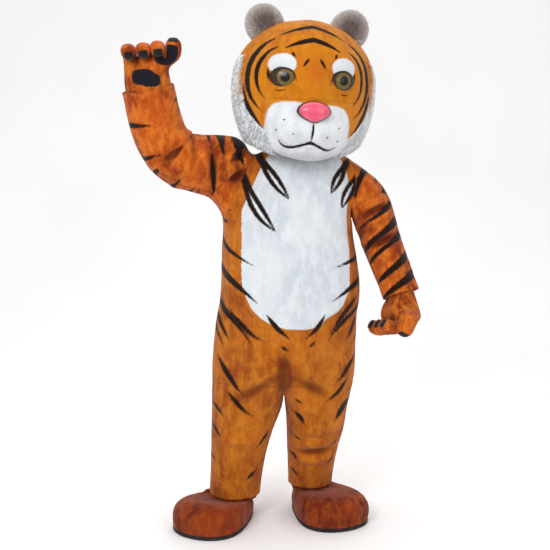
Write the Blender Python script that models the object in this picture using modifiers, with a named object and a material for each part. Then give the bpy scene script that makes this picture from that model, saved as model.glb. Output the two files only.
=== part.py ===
"""Tiger costume for an adult, worn and posed: a plush jumpsuit, a padded head, two paws and two boots.

Every garment is a hollow wall. A coarse cage of rings gives each form, Subdivision Surface rounds
it, shallow folds are pressed into it, and the pieces that a maker cuts and sews are taken from it.
X is to the wearer's left, the costume faces -Y, and Z is up. Heights in the tables are above the
floor; the origin is in the neck of the suit, where the wearer's shoulders carry it.
"""
import copy
import math

import bmesh
import bpy
from mathutils import Matrix, Vector
from mathutils.bvhtree import BVHTree

# Driving dimensions, in metres.
SHOULDER_HEIGHT = 1.36
PLUSH = 0.006
HEAD_WALL = 0.012
BOOT_WALL = 0.007
SOLE = 0.014
SEAM = 0.0004
FELT = 0.0025

# How far a subdivided ring of this many points shrinks from its cage.
SHRINK = {n: (2 + math.cos(math.tau / n)) / 3 for n in (4, 8, 10, 16)}

# Torso rings, from the neck to the crotch.
# height, centre x, centre y, half width, half depth, half width of the white front
TORSO = (
    (1.405, 0.005, 0.012, 0.094, 0.090, 0.082),
    (1.375, 0.003, 0.012, 0.122, 0.104, 0.104),
    (1.335, -0.002, 0.012, 0.186, 0.126, 0.140),
    (1.262, -0.010, 0.010, 0.214, 0.150, 0.170),
    (1.195, -0.028, 0.006, 0.224, 0.164, 0.190),
    (1.130, -0.044, 0.002, 0.234, 0.174, 0.206),
    (1.030, -0.047, 0.000, 0.243, 0.182, 0.212),
    (0.905, -0.034, 0.000, 0.257, 0.187, 0.210),
    (0.818, -0.038, 0.000, 0.259, 0.190, 0.176),
    (0.780, -0.045, 0.000, 0.258, 0.190, 0.138),
    (0.750, -0.050, 0.000, 0.261, 0.190, 0.070),
    (0.610, -0.060, 0.000, 0.266, 0.184, 0.110),
    (0.520, -0.062, 0.000, 0.266, 0.170, 0.118),
)
TORSO_COLUMNS = 16
SQUARENESS = 2.5
WHITE_COLUMN = 2
WHITE_LAST_ROW = 10
WHITE_END_DROP = (-0.014, -0.006, 0.016)
ARMHOLE_TOP_ROW = 2
ARMHOLE_ROWS = 3
# How far the white front stands towards the wearer's left, at each row of the torso
WHITE_SHIFT = (0.004, 0.008, 0.014, 0.020, 0.024, 0.028, 0.030, 0.030, 0.026, 0.022, 0.016, 0.0, 0.0)
SIDES_LEFT = (68.0, 91.0, 116.0)
SIDES_RIGHT = (64.0, 90.0, 116.0)
SLIT_HEIGHT = 0.455
CROTCH_X = -0.060

# Leg rings below the crotch: height, centre x, centre y, half width, half depth
LEG_WEARERS_RIGHT = (
    (0.420, -0.194, 0.000, 0.134, 0.140),
    (0.340, -0.214, -0.005, 0.117, 0.127),
    (0.252, -0.228, -0.005, 0.104, 0.115),
    (0.166, -0.237, 0.000, 0.097, 0.107),
    (0.086, -0.243, 0.004, 0.095, 0.104),
)
LEG_WEARERS_LEFT = (
    (0.420, 0.060, 0.000, 0.116, 0.136),
    (0.340, 0.061, 0.014, 0.109, 0.125),
    (0.256, 0.050, 0.038, 0.098, 0.112),
    (0.174, 0.044, 0.064, 0.087, 0.103),
    (0.100, 0.042, 0.084, 0.084, 0.100),
)

# Sleeve rings past the armhole: height, centre x, centre y, half size across the arm, half depth
SLEEVE_WEARERS_RIGHT = (
    (1.314, -0.272, -0.004, 0.130, 0.112),
    (1.314, -0.362, -0.022, 0.110, 0.106),
    (1.342, -0.470, -0.050, 0.108, 0.102),
    (1.440, -0.520, -0.074, 0.098, 0.096),
    (1.588, -0.545, -0.104, 0.093, 0.090),
)
SLEEVE_WEARERS_LEFT = (
    (1.190, 0.253, -0.006, 0.086, 0.108),
    (1.100, 0.277, -0.020, 0.072, 0.094),
    (1.008, 0.306, -0.040, 0.072, 0.086),
    (0.902, 0.348, -0.068, 0.066, 0.076),
    (0.845, 0.366, -0.084, 0.067, 0.072),
)
ARM_COLUMNS = 10

# The largest folds of the suit: x and height of both ends, half width, depth (a trough is
# negative), and the side it lies on: -1 in front, 1 behind.
FOLDS = (
    (-0.205, 1.410, -0.235, 1.200, 0.022, -0.012, -1),
    (-0.245, 1.425, -0.280, 1.190, 0.022, 0.010, -1),
    (-0.290, 1.400, -0.310, 1.210, 0.020, -0.011, -1),
    (-0.335, 1.390, -0.350, 1.230, 0.022, 0.008, -1),
    (-0.400, 1.400, -0.500, 1.300, 0.022, -0.010, -1),
    (-0.425, 1.440, -0.560, 1.380, 0.020, 0.007, -1),
    (-0.450, 1.560, -0.620, 1.560, 0.018, 0.007, -1),
    (0.230, 1.120, 0.330, 1.180, 0.020, -0.009, -1),
    (0.230, 1.060, 0.355, 1.130, 0.020, 0.009, -1),
    (0.240, 1.010, 0.370, 1.080, 0.020, -0.009, -1),
    (0.270, 0.960, 0.380, 1.010, 0.020, 0.007, -1),
    (-0.060, 0.640, -0.060, 0.470, 0.030, -0.016, -1),
    (-0.080, 0.560, -0.260, 0.440, 0.030, -0.008, -1),
    (-0.030, 0.560, 0.120, 0.480, 0.028, -0.008, -1),
    (-0.300, 0.330, -0.150, 0.300, 0.026, 0.008, -1),
    (-0.020, 0.300, 0.150, 0.330, 0.024, 0.010, -1),
    (-0.010, 0.250, 0.150, 0.270, 0.022, -0.010, -1),
    (-0.020, 0.200, 0.130, 0.220, 0.022, 0.007, -1),
    (-0.200, 1.250, -0.120, 1.050, 0.030, -0.008, 1),
    (0.150, 1.250, 0.080, 1.050, 0.030, -0.008, 1),
    (-0.270, 0.640, 0.000, 0.600, 0.030, 0.008, 1),
    (0.190, 0.660, 0.000, 0.560, 0.030, -0.008, 1),
    (-0.300, 0.300, -0.160, 0.320, 0.026, -0.008, 1),
    (-0.020, 0.300, 0.130, 0.280, 0.024, -0.008, 1),
)

# Head rings about its centre, from the rim at the neck to the crown:
# height, half width, half depth in front, half depth behind, lift of the sides and back,
# angle from the front of the muzzle's edge, of the face's edge, and of the ruff's back edge
HEAD_CENTRE = (0.011, -0.040, 1.591)
HEAD_YAW = math.radians(7)
HEAD_ROLL = math.radians(3.2)
HEAD = (
    (-0.252, 0.142, 0.124, 0.185, 0.0514, 38, 60, 108),
    (-0.268, 0.168, 0.176, 0.204, 0.0678, 38, 58, 108),
    (-0.215, 0.198, 0.212, 0.210, 0.026, 39, 57, 108),
    (-0.136, 0.226, 0.226, 0.214, 0.002, 40, 62, 108),
    (-0.058, 0.243, 0.234, 0.226, 0.0, 36, 70, 108),
    (0.030, 0.245, 0.236, 0.230, 0.0, 36, 74, 104),
    (0.105, 0.230, 0.224, 0.222, 0.0, 36, 74, 100),
    (0.170, 0.192, 0.190, 0.192, 0.0, 34, 72, 98),
    (0.218, 0.132, 0.132, 0.138, 0.0, 32, 66, 98),
    (0.240, 0.062, 0.064, 0.066, 0.0, 32, 66, 98),
)
CROWN = 0.248
MUZZLE_ROWS = 4
FACE_ROWS = range(2, 8)
RUFF_ROWS = 6
RUFF_FLARE = 0.016

# Soft bulges and hollows of the face, mirrored about its middle:
# x, height from the head's centre, reach across, reach up and down, how far it stands out
FACE_RELIEF = (
    (0.000, -0.150, 0.150, 0.085, 0.030),
    (0.058, -0.160, 0.070, 0.056, 0.026),
    (0.000, -0.236, 0.080, 0.036, 0.012),
    (0.000, -0.040, 0.056, 0.080, 0.024),
    (0.110, 0.018, 0.052, 0.040, -0.012),
    (0.104, 0.084, 0.064, 0.034, 0.008),
)
EYE = {"x": 0.100, "height": 0.020, "radii": (0.050, 0.018, 0.036), "turn": 20}
NOSE = {"height": -0.098, "radii": (0.060, 0.034, 0.038)}
EAR = {"x": 0.155, "y": 0.0, "height": 0.220, "radii": (0.072, 0.030, 0.077), "lean": 24}
EAR_INNER = {"ahead": 0.016, "radii": (0.061, 0.022, 0.065)}

# Paws: the ways along the hand and out of its palm
PAWS = {
    "right": {"along": (-0.10, -0.16, 1.0), "palm": (0.10, -1.0, -0.05)},
    "left": {"along": (-0.08, -0.25, -1.0), "palm": (-1.0, -0.35, 0.05)},
}
# The cuff stands inside the sleeve: how far past the sleeve's end each ring is, and how much slimmer
CUFF_PAST = (-0.038, -0.007)
CUFF_SLIMMER = {"right": (0.0063, 0.0078), "left": (0.015, 0.0165)}
# Rings of the hand from the sleeve's end: how far along, half width, half thickness
HAND = {
    "right": ((0.030, 0.084, 0.064), (0.066, 0.080, 0.060), (0.104, 0.076, 0.056)),
    "left": ((0.0363, 0.067, 0.050), (0.062, 0.076, 0.057), (0.092, 0.076, 0.055)),
}
FINGERS = 3
FINGER_REACH = (0.042, 0.044, 0.034)
FINGER_CURL = {"right": (30, 86, 134), "left": (34, 84, 124)}
FINGER_HALF = (0.0290, 0.0300, 0.025)
THUMB_REACH = (0.034, 0.036, 0.030)
THUMB_HALF = (0.034, 0.033, 0.026)

# Boots: the way the toes point, in degrees to the wearer's left
BOOT_TURN = {"right": -31, "left": 27}
# The shaft stands inside the leg: how far above the hem each ring is, and how much slimmer
SHAFT_RISE = (0.050, -0.004, -0.016)
SHAFT_SLIMMER = {"right": (0.0098, 0.0087, 0.0056), "left": (0.0079, 0.0114, 0.0108)}
# Rings of the foot: height at the heel and at the toes, how far ahead of the ankle, half length,
# half width
FOOT = (
    (0.056, 0.126, 0.086, 0.150, 0.120),
    (0.036, 0.082, 0.112, 0.190, 0.144),
    (0.0147, 0.0147, 0.110, 0.181, 0.138),
)
HEEL_SHARE = 0.70
TOE_SQUARENESS = 2.6

# The strip that hides the closure of the back: its lower end and its share of the seam's quads
FLY_BOTTOM = 0.84
FLY_SHARE = 0.55
FLY_THICKNESS = 0.004
FLY_CLEARANCE = 0.0007


def above_floor(height):
    """A height above the floor, as a Z in the frame of the part."""
    return height - SHOULDER_HEIGHT


class Cage:
    """Points and quads of a coarse form, with the name of the cut piece on each quad."""

    def __init__(self):
        self.points = []
        self.faces = []
        self.pieces = []

    def point(self, place):
        self.points.append(Vector(place))
        return len(self.points) - 1

    def face(self, corners, piece):
        self.faces.append(tuple(corners))
        self.pieces.append(piece)

    def tube(self, first, rings, pieces):
        """Joins a loop of points to the rings that follow it; pieces names each column's piece."""
        count = len(first)
        previous = first
        for ring in rings:
            current = [self.point(p) for p in ring]
            for j in range(count):
                k = (j + 1) % count
                self.face((previous[j], previous[k], current[k], current[j]), pieces[j])
            previous = current
        return previous


class Skin:
    """A cage rounded by Subdivision Surface: points, smooth normals, faces and piece names."""

    def __init__(self, cage, levels):
        names = sorted(set(cage.pieces))
        mesh = bpy.data.meshes.new("cage")
        mesh.from_pydata(cage.points, [], cage.faces)
        mark = mesh.attributes.new("piece", "INT", "FACE")
        mark.data.foreach_set("value", [names.index(p) for p in cage.pieces])
        shape = bmesh.new()
        shape.from_mesh(mesh)
        bmesh.ops.recalc_face_normals(shape, faces=shape.faces)
        shape.to_mesh(mesh)
        shape.free()
        guide = bpy.data.objects.new("cage", mesh)
        bpy.context.scene.collection.objects.link(guide)
        rounding = guide.modifiers.new("rounding", "SUBSURF")
        rounding.levels = levels
        rounding.render_levels = levels
        bpy.context.view_layer.update()
        graph = bpy.context.evaluated_depsgraph_get()
        made = bpy.data.meshes.new_from_object(guide.evaluated_get(graph))
        self.points = [v.co.copy() for v in made.vertices]
        self.faces = [tuple(p.vertices) for p in made.polygons]
        self.pieces = [names[a.value] for a in made.attributes["piece"].data]
        bpy.data.objects.remove(guide)
        bpy.data.meshes.remove(mesh)
        bpy.data.meshes.remove(made)
        self.find_normals()
        foremost = min(range(len(self.points)), key=lambda i: self.points[i].y)
        if self.normals[foremost].y > 0:
            self.faces = [tuple(reversed(f)) for f in self.faces]
            self.find_normals()

    def find_normals(self):
        self.normals = [Vector((0.0, 0.0, 0.0)) for _ in self.points]
        for face in self.faces:
            a, b, c, d = (self.points[face[i % len(face)]] for i in range(4))
            across = (c - a).cross(d - b) if len(face) == 4 else (b - a).cross(c - a)
            for v in face:
                self.normals[v] += across
        self.normals = [n.normalized() for n in self.normals]

    def press(self, depth_at):
        """Moves each point along its normal by the height of the folds there."""
        moved = [p + n * depth_at(p, n) for p, n in zip(self.points, self.normals)]
        self.points = moved
        self.find_normals()

    def halves(self, face):
        """The two triangles of a quad, along its shorter diagonal, and a triangle as it is."""
        if len(face) == 3:
            return [face]
        a, b, c, d = face
        if (self.points[a] - self.points[c]).length <= (self.points[b] - self.points[d]).length:
            return [(a, b, c), (a, c, d)]
        return [(a, b, d), (b, c, d)]


def torso_ring(row):
    height, cx, cy, half_width, half_depth, white = TORSO[row]
    power = 2 / SQUARENESS
    halves = []
    for shift, sides in ((WHITE_SHIFT[row], SIDES_LEFT), (-WHITE_SHIFT[row], SIDES_RIGHT)):
        edge = math.degrees(math.asin(min(0.97, ((white + shift) / half_width) ** (1 / power))))
        edge = min(edge, sides[0] - 5.0)
        halves.append([edge * 0.55, edge, *sides, 138.0, 159.0])
    angles = [0.0, *halves[0], 180.0, *(360.0 - a for a in reversed(halves[1]))]
    ring = []
    for column, angle in enumerate(angles):
        across = math.sin(math.radians(angle))
        ahead = math.cos(math.radians(angle))
        from_front = min(column, TORSO_COLUMNS - column)
        ends_white = row == WHITE_LAST_ROW and from_front <= WHITE_COLUMN
        rise = WHITE_END_DROP[from_front] if ends_white else 0.0
        x = math.copysign(abs(across) ** power, across) * half_width / SHRINK[16]
        y = -math.copysign(abs(ahead) ** power, ahead) * half_depth / SHRINK[16]
        ring.append(Vector((cx + x, cy + y, above_floor(height + rise))))
    return ring


def sleeve_rings(table, armhole):
    """Rings square to the arm, turned as little as possible from one to the next."""
    centres = [Vector((x, y, above_floor(h))) for h, x, y, _, _ in table]
    root = sum(armhole, Vector()) / len(armhole)
    up = Vector((0.0, 0.0, 1.0))
    rings = []
    for i, (_, _, _, half_across, half_depth) in enumerate(table):
        before = centres[i - 1] if i else root
        after = centres[min(i + 1, len(centres) - 1)]
        along = (after - before).normalized()
        up = (up - along * up.dot(along)).normalized()
        back = up.cross(along)
        if back.y < 0:
            back = -back
        ring = []
        for j in range(ARM_COLUMNS):
            angle = math.radians(90 - 360 / ARM_COLUMNS * j)
            across = up * math.sin(angle) * half_across
            behind = back * math.cos(angle) * half_depth
            ring.append(centres[i] + (across + behind) / SHRINK[10])
        rings.append(ring)
    return rings


def leg_rings(table, outward):
    """Rings of a leg; the first point is at the front of the crotch and they run round outside."""
    rings = []
    for height, cx, cy, half_width, half_depth in table:
        ring = []
        for j in range(ARM_COLUMNS):
            angle = math.radians(360 / ARM_COLUMNS * (j + 1) - 180)
            x = math.cos(angle) * half_width * outward / SHRINK[10]
            y = math.sin(angle) * half_depth / SHRINK[10]
            ring.append(Vector((cx + x, cy + y, above_floor(height))))
        rings.append(ring)
    return rings


def fold_depth(place, normal):
    """How far the folds of the suit stand out of it at a point."""
    height = place.z + SHOULDER_HEIGHT
    depth = 0.0
    for x0, h0, x1, h1, half_width, most, side in FOLDS:
        facing = max(0.0, normal.y * side)
        dx, dh = x1 - x0, h1 - h0
        length = math.hypot(dx, dh)
        along = ((place.x - x0) * dx + (height - h0) * dh) / length ** 2
        across = abs((place.x - x0) * dh - (height - h0) * dx) / length
        if 0 < along < 1 and across < half_width * 2.5:
            taper = math.sin(math.pi * along) ** 0.6
            depth += most * facing ** 0.5 * taper * math.exp(-((across / half_width) ** 2))
    return depth


def torso_piece(row, column):
    """The cut piece that a quad of the torso belongs to; columns run from the front to the left."""
    wearers_left = column < TORSO_COLUMNS // 2
    from_front = column if wearers_left else TORSO_COLUMNS - 1 - column
    side = "left" if wearers_left else "right"
    if from_front < WHITE_COLUMN and row < WHITE_LAST_ROW:
        return "belly"
    return f"front_{side}" if from_front < 4 else f"back_{side}"


def suit_cage():
    cage = Cage()
    grid = [[cage.point(p) for p in torso_ring(row)] for row in range(len(TORSO))]
    last = ARMHOLE_TOP_ROW + ARMHOLE_ROWS
    armholes = {}
    for row in range(len(TORSO) - 1):
        for column in range(TORSO_COLUMNS):
            in_rows = ARMHOLE_TOP_ROW <= row < last
            if in_rows and column in (3, 4, 11, 12):
                continue
            following = (column + 1) % TORSO_COLUMNS
            corners = (grid[row][column], grid[row][following],
                       grid[row + 1][following], grid[row + 1][column])
            cage.face(corners, torso_piece(row, column))
    for name, side, behind in (("left", 4, 1), ("right", 12, -1)):
        rows = range(ARMHOLE_TOP_ROW, last + 1)
        back = [grid[row][side + behind] for row in rows]
        front = [grid[row][side - behind] for row in rows]
        armholes[name] = [grid[ARMHOLE_TOP_ROW][side], *back, grid[last][side], *reversed(front)]
    for name, table in (("left", SLEEVE_WEARERS_LEFT), ("right", SLEEVE_WEARERS_RIGHT)):
        armhole = armholes[name]
        rings = sleeve_rings(table, [cage.points[v] for v in armhole])
        cage.tube(armhole, rings, [f"sleeve_{name}"] * ARM_COLUMNS)
    crotch = cage.point((CROTCH_X, 0.0, above_floor(SLIT_HEIGHT)))
    ring = grid[-1]
    half = TORSO_COLUMNS // 2
    for name, table, outward in (("left", LEG_WEARERS_LEFT, 1), ("right", LEG_WEARERS_RIGHT, -1)):
        columns = range(half + 1) if outward > 0 else range(TORSO_COLUMNS, half - 1, -1)
        first = [ring[c % TORSO_COLUMNS] for c in columns] + [crotch]
        pieces = [f"leg_{name}_front"] * 4 + [f"leg_{name}_back"] * 4
        pieces += [f"leg_{name}_back", f"leg_{name}_front"]
        cage.tube(first, leg_rings(table, outward), pieces)
    return cage


def new_material(name, colour, roughness):
    material = bpy.data.materials.new(name)
    material.use_nodes = True
    shader = material.node_tree.nodes["Principled BSDF"]
    shader.inputs["Base Color"].default_value = (*colour, 1.0)
    shader.inputs["Roughness"].default_value = roughness
    shader.inputs["Metallic"].default_value = 0.0
    material.diffuse_color = (*colour, 1.0)
    return material


def add_object(name, mesh, material):
    part = bpy.data.objects.new(name, mesh)
    mesh.materials.append(material)
    mesh.shade_smooth()
    mesh.set_sharp_from_angle(angle=math.radians(40))
    PARTS.objects.link(part)
    return part


def cut_wall(name, skin, pieces, thickness, material, gap=SEAM, raised=0.0):
    """One cut piece as a wall: its faces outside, the same inside, and a rim round its cut edges."""
    chosen = [f for f, p in zip(skin.faces, skin.pieces) if p in pieces]
    owner = {}
    for face in chosen:
        for a, b in zip(face, face[1:] + face[:1]):
            owner[(a, b)] = face
    edges = [e for e in owner if (e[1], e[0]) not in owner]
    inward = {}
    for a, b in edges:
        along = (skin.points[b] - skin.points[a]).normalized()
        normal = (skin.normals[a] + skin.normals[b]).normalized()
        for v in (a, b):
            inward.setdefault(v, []).append(normal.cross(along).normalized())
    order = sorted({v for face in chosen for v in face})
    index = {v: i for i, v in enumerate(order)}
    outer = []
    for v in order:
        place = skin.points[v] + skin.normals[v] * raised
        ways = inward.get(v, [])
        if len(ways) == 2:
            place = place + (ways[0] + ways[1]) / (1 + ways[0].dot(ways[1])) * gap / 2
        outer.append(place)
    inner = [p - skin.normals[v] * thickness for p, v in zip(outer, order)]
    count = len(order)
    chosen = [half for face in chosen for half in skin.halves(face)]
    faces = [tuple(index[v] for v in face) for face in chosen]
    faces += [tuple(index[v] + count for v in reversed(face)) for face in chosen]
    for a, b in edges:
        i, j = index[a], index[b]
        if a < b:
            faces += [(j, i, j + count), (i, i + count, j + count)]
        else:
            faces += [(j, i, i + count), (j, i + count, j + count)]
    mesh = bpy.data.meshes.new(name)
    mesh.from_pydata(outer + inner, [], faces)
    return add_object(name, mesh, material)


def bump(u, v):
    return math.exp(-(u * u + v * v))


def face_relief(place, normal):
    """How far the face stands out of the plain head at a point of the head's own frame."""
    facing = max(0.0, -normal.y)
    depth = 0.0
    for x, height, across, tall, most in FACE_RELIEF:
        for side in (1, -1) if x else (1,):
            depth += most * bump((place.x - side * x) / across, (place.z - height) / tall)
    return depth * facing


def head_ring(row):
    height, half_width, ahead, behind, lift, muzzle, face, ruff = HEAD[row]
    quarter = [0.0, muzzle / 2, muzzle, face, (face + ruff) / 2, ruff]
    angles = quarter + [ruff + (180 - ruff) * share for share in (1 / 3, 2 / 3, 1)]
    angles += [360 - a for a in reversed(angles[1:-1])]
    ring = []
    for column, angle in enumerate(angles):
        sine, cosine = math.sin(math.radians(angle)), math.cos(math.radians(angle))
        flare = RUFF_FLARE if row <= RUFF_ROWS and min(column, 16 - column) == 4 else 0.0
        x = sine * (half_width / SHRINK[16] + flare)
        y = -cosine * (ahead if cosine > 0 else behind) / SHRINK[16]
        up = height + lift * (1 - max(0.0, cosine) ** 1.5)
        ring.append(Vector((x, y, up)))
    return ring


def head_piece(row, column):
    from_front = column if column < 8 else 15 - column
    side = "left" if column < 8 else "right"
    if from_front < 2 and row < MUZZLE_ROWS:
        return "muzzle" if row > 1 else "chin"
    if from_front < 3 and row in FACE_ROWS:
        return "face"
    if from_front < 5 and row < RUFF_ROWS:
        return f"ruff_{side}"
    return "head_back"


def head_cage():
    cage = Cage()
    grid = [[cage.point(p) for p in head_ring(row)] for row in range(len(HEAD))]
    for row in range(len(HEAD) - 1):
        for column in range(16):
            following = (column + 1) % 16
            corners = (grid[row][column], grid[row][following],
                       grid[row + 1][following], grid[row + 1][column])
            cage.face(corners, head_piece(row, column))
    top = cage.point((0.0, 0.0, CROWN))
    for column in range(0, 16, 2):
        corners = (grid[-1][column], grid[-1][column + 1], grid[-1][(column + 2) % 16], top)
        cage.face(corners, "head_back")
    return cage


def head_pose():
    turn = Matrix.Rotation(HEAD_YAW, 4, "Z") @ Matrix.Rotation(HEAD_ROLL, 4, "Y")
    x, y, height = HEAD_CENTRE
    return Matrix.Translation((x, y, above_floor(height))) @ turn


def closed_form(name, skin, raised):
    """The whole outside of a skin as one closed cutter, moved out by a clearance."""
    mesh = bpy.data.meshes.new(name)
    points = [p + n * raised for p, n in zip(skin.points, skin.normals)]
    mesh.from_pydata(points, [], [half for face in skin.faces for half in skin.halves(face)])
    shape = bmesh.new()
    shape.from_mesh(mesh)
    bmesh.ops.holes_fill(shape, edges=[e for e in shape.edges if e.is_boundary], sides=0)
    bmesh.ops.recalc_face_normals(shape, faces=shape.faces)
    shape.to_mesh(mesh)
    shape.free()
    return add_cutter(name, mesh)


def add_cutter(name, mesh):
    cutter = bpy.data.objects.new(name, mesh)
    cutter.hide_render = True
    cutter.display_type = "WIRE"
    CUTTERS.objects.link(cutter)
    return cutter


def lump_mesh(name, radii, segments=14, rings=8, shaped=None):
    """A sphere stretched to three radii; shaped may move its points, in shares of the radii."""
    mesh = bpy.data.meshes.new(name)
    shape = bmesh.new()
    bmesh.ops.create_uvsphere(shape, u_segments=segments, v_segments=rings, radius=1.0)
    bmesh.ops.rotate(shape, verts=shape.verts, matrix=Matrix.Rotation(math.pi / 2, 3, "X"))
    for v in shape.verts:
        place = shaped(v.co) if shaped else v.co
        v.co = Vector(a * b for a, b in zip(place, radii))
    bmesh.ops.recalc_face_normals(shape, faces=shape.faces)
    shape.to_mesh(mesh)
    shape.free()
    return mesh


def cut_by(part, *cutters):
    for cutter in cutters:
        cut = part.modifiers.new(f"seat on {cutter.name}", "BOOLEAN")
        cut.operation = "DIFFERENCE"
        cut.object = cutter


def nose_shape(point):
    """Broad and flat on top, drawn in to a blunt point below."""
    low = max(0.0, -point.z)
    return Vector((point.x * (1.0 - 0.62 * low ** 1.6), point.y, point.z - 0.10 * abs(point.x) * low))


def build_head():
    skin = Skin(head_cage(), 1)
    skin.press(face_relief)
    pose = head_pose()
    tree = BVHTree.FromPolygons(skin.points, skin.faces)

    def surface_y(x, height):
        return tree.ray_cast(Vector((x, -1.0, height)), Vector((0.0, 1.0, 0.0)))[0].y

    surface = {spot: surface_y(*spot) for spot in ((EYE["x"], EYE["height"]), (0.0, NOSE["height"]))}
    skin.points = [pose @ p for p in skin.points]
    skin.find_normals()
    for piece in sorted(set(skin.pieces)):
        orange = piece in ("face", "head_back")
        cut_wall(piece, skin, {piece}, HEAD_WALL, ORANGE if orange else WHITE)
    form = closed_form("head_form", skin, SEAM)
    for side, hand in (("left", 1), ("right", -1)):
        eye = add_object(f"eye_{side}", lump_mesh("eye", EYE["radii"]), GLOSS_EYE)
        y = surface[(EYE["x"], EYE["height"])]
        turn = Matrix.Rotation(math.radians(EYE["turn"] * hand), 4, "Z")
        eye.matrix_world = pose @ Matrix.Translation((hand * EYE["x"], y, EYE["height"])) @ turn
        cut_by(eye, form)
        lean = Matrix.Rotation(math.radians(EAR["lean"] * hand), 4, "Y")
        root = Matrix.Translation((hand * EAR["x"], EAR["y"], EAR["height"])) @ lean
        ahead = Matrix.Translation((0.0, -EAR_INNER["ahead"], 0.0))
        inner = add_object(f"ear_inner_{side}", lump_mesh("ear_inner", EAR_INNER["radii"]), GREY)
        inner.matrix_world = pose @ root @ ahead
        hollow_radii = [r + SEAM for r in EAR_INNER["radii"]]
        hollow = add_cutter(f"ear_hollow_{side}", lump_mesh("ear_hollow", hollow_radii))
        hollow.matrix_world = inner.matrix_world
        ear = add_object(f"ear_{side}", lump_mesh("ear", EAR["radii"]), ORANGE)
        ear.matrix_world = pose @ root
        cut_by(ear, hollow, form)
        cut_by(inner, form)
    nose = add_object("nose", lump_mesh("nose", NOSE["radii"], shaped=nose_shape), PINK)
    nose.matrix_world = pose @ Matrix.Translation((0.0, surface[(0.0, NOSE["height"])], NOSE["height"]))
    cut_by(nose, form)


def hand_ring(centre, along, across, up, half_width, half_thick):
    """Eight points: the back of the hand away from the thumb to it, then the palm back again."""
    ring = []
    for share in (-1, -1 / 3, 1 / 3, 1):
        ring.append(centre + across * half_width * share + up * half_thick)
    for share in (1, 1 / 3, -1 / 3, -1):
        ring.append(centre + across * half_width * share - up * half_thick)
    return ring


def finger(cage, base, root, ways, halves, across, palm_first, pieces):
    """Four-sided rings from a base face of the hand to a closed tip.

    ways holds the step to each ring; palm_first is the way to the palm side of the first ring."""
    previous = base
    centre = root
    palm = palm_first
    for i, (step, half) in enumerate(zip(ways, halves)):
        centre = centre + step
        following = ways[min(i + 1, len(ways) - 1)]
        along = (step.normalized() + following.normalized()).normalized()
        palm = (palm - along * palm.dot(along)).normalized()
        side = across - along * across.dot(along)
        side = (side - palm * side.dot(palm)).normalized()
        corners = ((-1, -1), (1, -1), (1, 1), (-1, 1))
        ring = [cage.point(centre + side * half * a + palm * half * b) for a, b in corners]
        for j in range(4):
            k = (j + 1) % 4
            cage.face((previous[j], previous[k], ring[k], ring[j]), pieces[j])
        previous = ring
    cage.face(previous, pieces[4])


def paw_cage(side):
    spec = PAWS[side]
    palm = Vector(spec["palm"])
    along = Vector(spec["along"]).normalized()
    palm = (palm - along * palm.dot(along)).normalized()
    thumbward = along.cross(palm) * (-1 if side == "left" else 1)
    before, end = (SLEEVE_WEARERS_LEFT if side == "left" else SLEEVE_WEARERS_RIGHT)[-2:]
    wrist = Vector((end[1], end[2], above_floor(end[0])))
    way = (wrist - Vector((before[1], before[2], above_floor(before[0])))).normalized()
    cuff_palm = (palm - way * palm.dot(way)).normalized()
    cuff_across = (thumbward - way * thumbward.dot(way)).normalized()
    cage = Cage()
    rings = []
    for past, slimmer in zip(CUFF_PAST, CUFF_SLIMMER[side]):
        ring = []
        for j in range(8):
            angle = math.radians(157.5 - 45 * j)
            place = cuff_across * math.cos(angle) - cuff_palm * math.sin(angle)
            radius = (min(end[3], end[4]) - slimmer) / SHRINK[8]
            ring.append(cage.point(wrist + way * past + place * radius))
        rings.append(ring)
    back, inside = f"paw_{side}_back", f"paw_{side}_palm"
    columns = [back] * 4 + [inside] * 3 + [back]
    for reach, half_width, half_thick in HAND[side]:
        places = hand_ring(wrist + along * reach, along, thumbward, -palm, half_width, half_thick)
        rings.append([cage.point(p) for p in places])
    thumb_face = None
    for before, after in zip(rings, rings[1:]):
        for j in range(8):
            k = (j + 1) % 8
            corners = (before[j], before[k], after[k], after[j])
            if j == 3 and before is rings[-2]:
                thumb_face = corners
                continue
            cage.face(corners, columns[j])
    knuckles = rings[-1]
    for i in range(FINGERS):
        base = (knuckles[i], knuckles[i + 1], knuckles[6 - i], knuckles[7 - i])
        root = sum((cage.points[v] for v in base), Vector()) / 4
        ways = []
        for reach, curl in zip(FINGER_REACH, FINGER_CURL[side]):
            turn = math.radians(curl)
            way = along * math.cos(turn) + palm * math.sin(turn)
            ways.append(way * reach)
        tip = f"pad_{side}_{i + 1}"
        finger(cage, base, root, ways, FINGER_HALF, thumbward, palm, [back, back, inside, back, tip])
    before_back, before_palm, after_palm, after_back = thumb_face
    base = (before_back, after_back, after_palm, before_palm)
    root = sum((cage.points[v] for v in base), Vector()) / 4
    way = (thumbward * 0.80 + along * 0.70 + palm * 0.45).normalized()
    bent = (thumbward * 0.12 + along * 1.0 + palm * 0.40).normalized()
    ways = [d * r for d, r in zip((way, bent, bent), THUMB_REACH)]
    finger(cage, base, root, ways, THUMB_HALF, along, palm, [back, back, inside, back, f"pad_{side}_thumb"])
    return cage


def build_paw(side):
    skin = Skin(paw_cage(side), 1)
    pads = sorted({p for p in skin.pieces if p.startswith("pad")})
    back, inside = f"paw_{side}_back", f"paw_{side}_palm"
    cut_wall(back, skin, {back}, PLUSH, ORANGE)
    cut_wall(inside, skin, {inside, *pads}, PLUSH, ORANGE)
    for pad in pads:
        cut_wall(pad, skin, {pad}, FELT, BLACK, raised=FELT + SEAM)


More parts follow.
